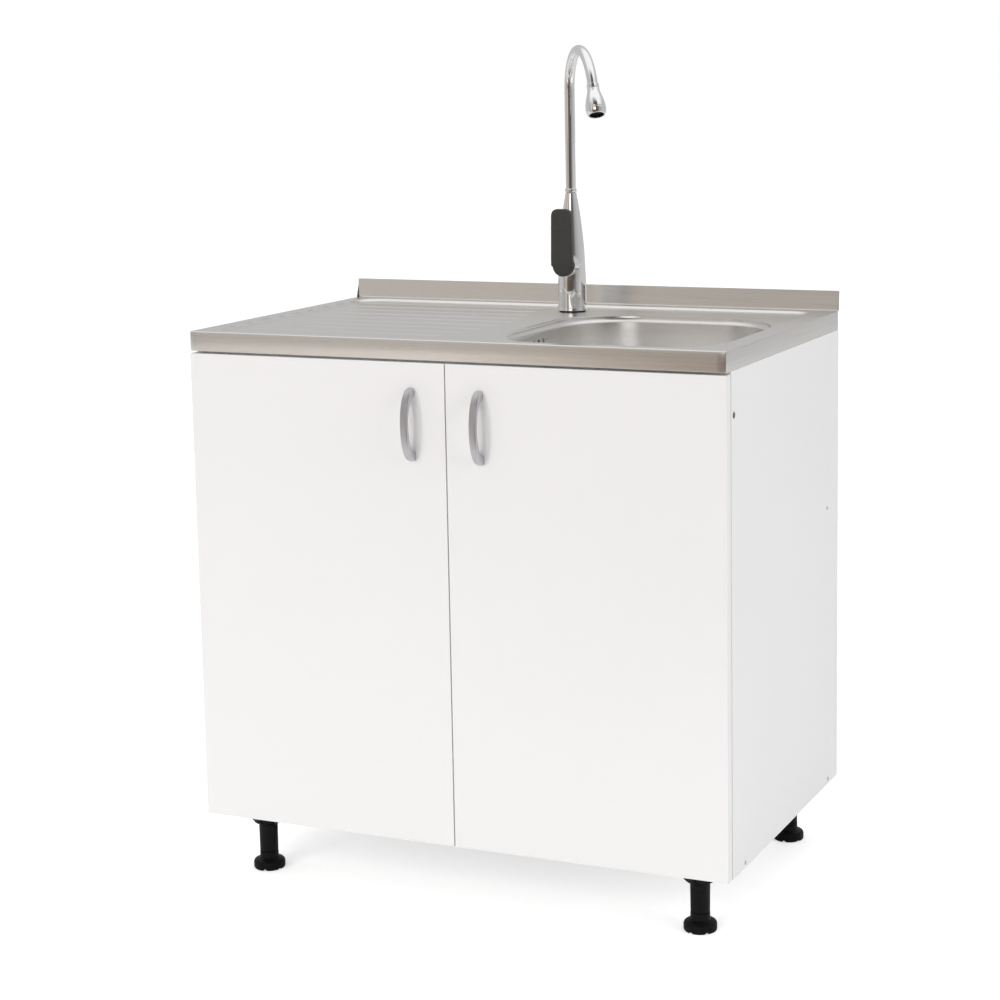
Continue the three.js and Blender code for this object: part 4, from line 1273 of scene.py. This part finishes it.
class SINKUNIT_OT_trap(bpy.types.Operator):
    """Builds the tailpiece, the bottle trap, the waste pipe and the overflow"""

    bl_idname = "sink_unit.trap"
    bl_label = "Trap and overflow"

    def execute(self, context):
        floor = BOWL_FLOOR
        place = Matrix.Translation((*BOWL, floor))
        finish = [white_plastic()]
        top = -92.0
        outlet = top - 38

        def part(name, node, skin):
            made(name, skin, finish, "cabinet", (node,))

        tail = Skin().turned(soften([
            (17, -100), (20, -100), (20, -58), (24, -52), (24, -44.4), (17, -44.4),
        ], [0.3, 0.5, 1.5, 1.5, 0.5, 0.3], True), 72, place)
        barbs = [(6.5, -3), (9, -3)]
        for k in range(4):
            barbs += [(9, k * 4.2 + 2), (8.2, k * 4.2 + 2.4), (8.2, k * 4.2 + 4)]
        barbs += [(8.4, 19), (6.5, 19)]
        tail.turned(barbs, 40, aim((BOWL[0] - 17.5, BOWL[1], floor - 68.5), (-1, 0, 0)))
        part("tailpiece", "drain_tailpiece", tail)
        nut = soften([
            (20.4, -36.9), (28.6, -36.9), (29, -37.6), (29, -54.4), (28.6, -55), (24.4, -55),
            (24.4, -44.1), (20.4, -44.1),
        ], 0.4, True, 2)
        part("tailpiece_union_nut", "tailpiece_nut", Skin().turned(nut, 144, place, shape=grips(18, 0.9, 27)))
        body = Skin().turned(soften([
            (20.4, top), (25, top), (25, top - 14), (32, top - 22), (32, top - 66), (28.6, top - 66),
            (28.6, top - 24), (20.4, top - 16),
        ], [0.3, 1, 4, 4, 0.5, 0.3, 3, 3], True), 96, place)
        for k in range(9):
            h = top - 1.6 - k * 1.3
            body.turned([(24.8, h - 0.5), (25.6, h - 0.1), (25.6, h + 0.1), (24.8, h + 0.5)], 72, place)
        spigot = aim((BOWL[0], BOWL[1] + 30.5, floor + outlet), (0, 1, 0))
        body.turned(soften([(16.6, -2), (20, -2), (20, 31.5), (16.6, 31.5)], 0.5, True), 72, spigot)
        part("bottle_trap_body", "trap_body", body)
        tube = [(15, top - 96), (16.8, top - 96), (16.8, top - 8.4), (15, top - 8.4)]
        part("trap_dip_tube", "dip_tube", Skin().turned(tube, 64, place))
        cup = soften([
            (0, top - 118), (30, top - 118), (36, top - 108), (36, top - 60), (32.4, top - 60),
            (32.4, top - 66.4), (30, top - 70), (30, top - 106), (26, top - 112), (0, top - 112),
        ], [0, 5, 5, 0.8, 0.3, 0.3, 0.5, 3, 3, 0], steps=5)
        held = grips(20, 1.1, 35.5, (top - 84, math.inf), 4)
        part("bottle_trap_cup", "trap_cup", Skin().turned(cup, 160, place, shape=held))
        pipe_low, pipe_high = cad("waste_pipe")
        length = pipe_high[1] - pipe_low[1]
        pipe = aim((BOWL[0], pipe_low[1], floor + outlet), (0, 1, 0))
        tube = soften([(13.8, 0), (16.2, 0), (16.2, length), (13.8, length)], 0.4, True)
        part("waste_tube", "waste_pipe", Skin().turned(tube, 64, pipe))
        nut = soften([
            (20.4, 50), (24.6, 50), (25, 50.6), (25, 71), (24.2, 72), (16.7, 72), (16.7, 62.5),
            (20.4, 62.5),
        ], 0.4, True, 2)
        rearward = aim((BOWL[0], BOWL[1], floor + outlet), (0, 1, 0))
        part("outlet_union_nut", "outlet_nut", Skin().turned(nut, 144, rearward, shape=grips(16, 0.8, 24)))
        hose = flow([
            (33, -51, BORDER - 44.3), (33, -50, 700), (38, -46, 645), (70, -38, 606), (110, -34.8, 584),
            (140, BOWL[1], 578.4), (BOWL[0] - 36.6, BOWL[1], 578),
        ], 40)
        spaced = [hose[0]]
        for p in hose[1:]:
            if np.linalg.norm(p - spaced[-1]) >= 1.0:
                spaced.append(p)
        last = len(spaced) - 1

        def ridge(t):
            wave = 0.5 + 0.5 * math.cos(2 * math.pi * (t * last) / 4.0)
            return circle(8.1 + (0.9 * wave if 0.03 < t < 0.97 else 0.4), 24)

        part("overflow_tube", "overflow_hose", Skin().swept(spaced, ridge))
        eased("overflow_housing", finish, "cabinet", 1.2)
        return {"FINISHED"}


class SINKUNIT_OT_fixings(bpy.types.Operator):
    """Finishes the tap's fixing, the cartridge parts and the door hinges, and adds screws"""

    bl_idname = "sink_unit.fixings"
    bl_label = "Fixings and hinges"

    def execute(self, context):
        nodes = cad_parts
        plain = {
            "cartridge": white_plastic(), "cartridge_collar": zinc(), "lever_stem": satin(),
            "tap_stud": zinc(), "tap_washer": rubber(), "tap_nut": zinc(),
            "hot_inlet": satin(), "cold_inlet": satin(),
        }
        for side in ("left", "right"):
            for level in ("lower", "upper"):
                for piece in ("hinge_cup", "hinge_link", "hinge_arm"):
                    plain[f"{side}_{level}_{piece}"] = zinc()
        for name, finish in plain.items():
            for slot in nodes[name].material_slots:
                slot.material = finish
        for side, out in (("left", -1), ("right", 1)):
            pins, arm_screws, cup_screws = Skin(), Skin(), Skin()
            for level in ("lower", "upper"):
                low, high = cad(f"{side}_{level}_hinge_arm")
                z = (low[2] + high[2]) / 2
                front, rear = low[1], high[1]
                head = soften([(0, 2.0), (2.6, 1.8), (4.0, 0.6), (4.1, 0), (0, 0)], [0, 0.6, 0.5, 0, 0])
                plate = (high[0] if out > 0 else low[0]) - out * 3.0
                for dz in (-16, 16):
                    arm_screws.turned(head, 28, aim((plate, front + 39, z + dz), (-out, 0, 0)))
                channel = low[0] if out > 0 else high[0]
                for dy in (22, 56):
                    arm_screws.turned(head, 28, aim((channel, front + dy, z), (-out, 0, 0)))
                cup_low, cup_high = cad(f"{side}_{level}_hinge_cup")
                x = (cup_low[0] + cup_high[0]) / 2
                for dz in (-22.5, 22.5):
                    cup_screws.turned(head, 28, aim((x, cup_high[1], z + dz), (0, 1, 0)))
            made(f"{side}_hinge_arm_screws", arm_screws, [zinc()], "cabinet")
            made(f"{side}_hinge_cup_screws", cup_screws, [zinc()], f"{side}_door")
        return {"FINISHED"}


# ---------- stage ----------

CAMERA_TURNS = (23.628, 8.38, -0.8625)
CAMERA_TARGET = (0.0518, 0.0105, 0.6868)
CAMERA_DISTANCE = 3.2285

class SINKUNIT_OT_stage(bpy.types.Operator):
    """Adds the pale floor, the soft studio light and the camera"""

    bl_idname = "sink_unit.stage"
    bl_label = "Stage"

    @staticmethod
    def round_about(s, x, y, stops):
        """Colours by bearing in degrees, 0 at the front and positive to the right."""
        angle = s.node("ShaderNodeMath", {"operation": "ARCTAN2"}, {0: x, 1: y * -1.0})
        stops = [(0.5 + degrees / 360, colour) for degrees, colour in stops]
        return s.node("ShaderNodeValToRGB", {"stops": stops}, {0: angle / (2 * math.pi) + 0.5})

    def sector(self, s, x, y, *degrees):
        """1 between the second and third bearing, fading to 0 at the first and fourth."""
        black, white = (0, 0, 0), (1, 1, 1)
        stops = zip((-180, *degrees, 180), (black, black, white, white, black, black))
        return s.level(self.round_about(s, x, y, list(stops)))

    def execute(self, context):
        stage = settings().stage
        scene = context.scene
        floor = bpy.data.meshes.new("studio_floor")
        floor.from_pydata([(-30, -30, 0), (30, -30, 0), (30, 30, 0), (-30, 30, 0)], [], [(0, 1, 2, 3)])
        plane = bpy.data.objects.new("studio_floor", floor)
        context.collection.objects.link(plane)

        paper = bpy.data.materials.new("studio paper")
        paper.use_nodes = True
        s = Shader(paper.node_tree)
        tone = s.noise(s.place(), 1.5, 2)
        ray = s.node("ShaderNodeLightPath", output=0)
        x, y, _ = s.parts(s.place())
        carpet = self.round_about(s, x, y, (
            (-180, (0.78, 0.78, 0.78)), (-62, (0.75, 0.75, 0.74)), (-42, (0.50, 0.47, 0.43)),
            (-34, (0.50, 0.47, 0.43)), (-27, (0.86, 0.83, 0.79)), (-20, (0.46, 0.39, 0.33)),
            (-13, (0.20, 0.15, 0.11)), (22, (0.13, 0.10, 0.08)), (45, (0.25, 0.24, 0.23)),
            (70, (0.66, 0.66, 0.66)), (180, (0.78, 0.78, 0.78)),
        ))
        ground = s.blend(s.step(y, -1.7, -0.8), carpet, (0.82, 0.82, 0.82))
        shown = s.node("ShaderNodeBsdfPrincipled", None, {
            "Base Color": s.blend(tone, (0.84, 0.84, 0.84), (0.86, 0.86, 0.86)),
            "Emission Color": (1, 1, 1), "Emission Strength": stage.paper, "Roughness": 0.9,
            "Specular IOR Level": 0.0,
        })
        bounced = s.node("ShaderNodeBsdfDiffuse", None, {"Color": ground})
        both = s.node("ShaderNodeMixShader", None, {0: ray, 1: bounced, 2: shown})
        s.finish("ShaderNodeOutputMaterial", both)
        floor.materials.append(paper)

        world = bpy.data.worlds.new("studio")
        scene.world = world
        world.use_nodes = True
        s = Shader(world.node_tree)
        x, y, z = s.parts(s.node("ShaderNodeTexCoord", output=0))
        walls = self.round_about(s, x, y, (
            (-180, (0.62, 0.62, 0.62)), (-80, (0.62, 0.62, 0.62)), (-42, (0.50, 0.47, 0.43)),
            (-34, (0.56, 0.53, 0.49)), (-27, (0.95, 0.92, 0.88)), (-20, (0.50, 0.43, 0.37)),
            (-13, (0.20, 0.155, 0.12)), (24, (0.12, 0.095, 0.075)), (42, (0.11, 0.10, 0.09)),
            (62, (0.42, 0.41, 0.40)), (100, (0.58, 0.58, 0.58)), (180, (0.62, 0.62, 0.62)),
        ))
        ahead = self.sector(s, x, y, -9, -4, 18, 23)
        window = ahead * s.step(z, 0.03, 0.08) * (1 - s.step(z, 0.45, 0.55))
        walls = s.blend(window, walls, (1.7, 1.7, 1.7))
        front = self.sector(s, x, y, -48, -28, 45, 65)
        high = s.step(z, 0.50, 0.85) * (1 - front * (1 - s.step(z, 0.86, 0.98)))
        room = s.blend(high, walls, (1.15, 1.15, 1.16))
        lit = s.node("ShaderNodeBackground", None, {0: room, 1: stage.room})
        seen = s.node("ShaderNodeBackground", None, {0: (1, 1, 1), 1: 1.0})
        ray = s.node("ShaderNodeLightPath", output=0)
        s.finish("ShaderNodeOutputWorld", s.node("ShaderNodeMixShader", None, {0: ray, 1: lit, 2: seen}))

        for name, spot, size, power, target in (
            ("key", (-1.5, -3.6, 1.0), (0.16, 0.16), stage.key, (0, -0.2, 0.55)),
            ("fill", (-1.0, -4.2, 2.4), (2.4, 1.6), stage.fill, (0, 0, 0.4)),
            ("side", (3.0, -1.0, 1.5), (1.6, 1.6), stage.side, (0.2, 0, 0.5)),
            ("top", (0.0, 0.2, 3.2), (2.6, 2.0), stage.top, (0, 0, 0.6)),
        ):
            lamp = bpy.data.lights.new(f"studio_{name}", "AREA")
            lamp.shape, lamp.size, lamp.size_y, lamp.energy = "RECTANGLE", *size, power
            light = bpy.data.objects.new(f"studio_{name}", lamp)
            light.location = spot
            light.visible_glossy = False
            light.rotation_euler = (Vector(target) - Vector(spot)).to_track_quat("-Z", "Y").to_euler()
            context.collection.objects.link(light)

        azimuth, height, roll = (math.radians(v) for v in CAMERA_TURNS)
        level = math.cos(height)
        back = Vector((math.sin(azimuth) * level, -math.cos(azimuth) * level, math.sin(height)))
        across = Vector((0, 0, 1)).cross(back).normalized()
        up = back.cross(across)
        right = across * math.cos(roll) + up * math.sin(roll)
        above = up * math.cos(roll) - across * math.sin(roll)
        turn = Matrix((right, above, back)).transposed().to_4x4()
        spot = Vector(CAMERA_TARGET) + back * CAMERA_DISTANCE
        lens = bpy.data.cameras.new("camera")
        lens.lens, lens.sensor_width = 80.83, 36
        lens.shift_x, lens.shift_y = -0.0548, -0.10
        camera = bpy.data.objects.new("camera", lens)
        camera.matrix_world = Matrix.Translation(spot) @ turn
        context.collection.objects.link(camera)
        scene.camera = camera
        scene.view_settings.view_transform = "Standard"
        return {"FINISHED"}


# ---------- panel and registration ----------

OPERATORS = (
    SINKUNIT_OT_stage, SINKUNIT_OT_sink, SINKUNIT_OT_tap_body, SINKUNIT_OT_spout, SINKUNIT_OT_lever,
    SINKUNIT_OT_handles, SINKUNIT_OT_cabinet, SINKUNIT_OT_legs, SINKUNIT_OT_drain, SINKUNIT_OT_trap,
    SINKUNIT_OT_fixings,
)


class SINKUNIT_PT_pieces(bpy.types.Panel):
    """Lists the sink unit's settings and builders"""

    bl_idname = "SINKUNIT_PT_pieces"
    bl_label = "Sink unit"
    bl_space_type = "VIEW_3D"
    bl_region_type = "UI"
    bl_category = "Sink unit"

    def draw(self, context):
        unit = context.scene.sink_unit
        for label in ("finishes", "sink", "tap", "cabinet", "stage"):
            group = getattr(unit, label)
            box = self.layout.box()
            box.label(text=label.title())
            for field in group.__annotations__:
                box.prop(group, field)
        for operator in OPERATORS:
            self.layout.operator(operator.bl_idname)


CLASSES = (
    FinishSettings, SinkSettings, TapSettings, CabinetSettings, StageSettings, SinkUnitSettings,
    *OPERATORS, SINKUNIT_PT_pieces,
)


def register():
    for cls in CLASSES:
        bpy.utils.register_class(cls)
    bpy.types.Scene.sink_unit = PointerProperty(type=SinkUnitSettings)


def unregister():
    del bpy.types.Scene.sink_unit
    for cls in reversed(CLASSES):
        bpy.utils.unregister_class(cls)


def main():
    register()
    for operator in OPERATORS:
        group, name = operator.bl_idname.split(".")
        getattr(getattr(bpy.ops, group), name)()


if __name__ == "__main__":
    main()
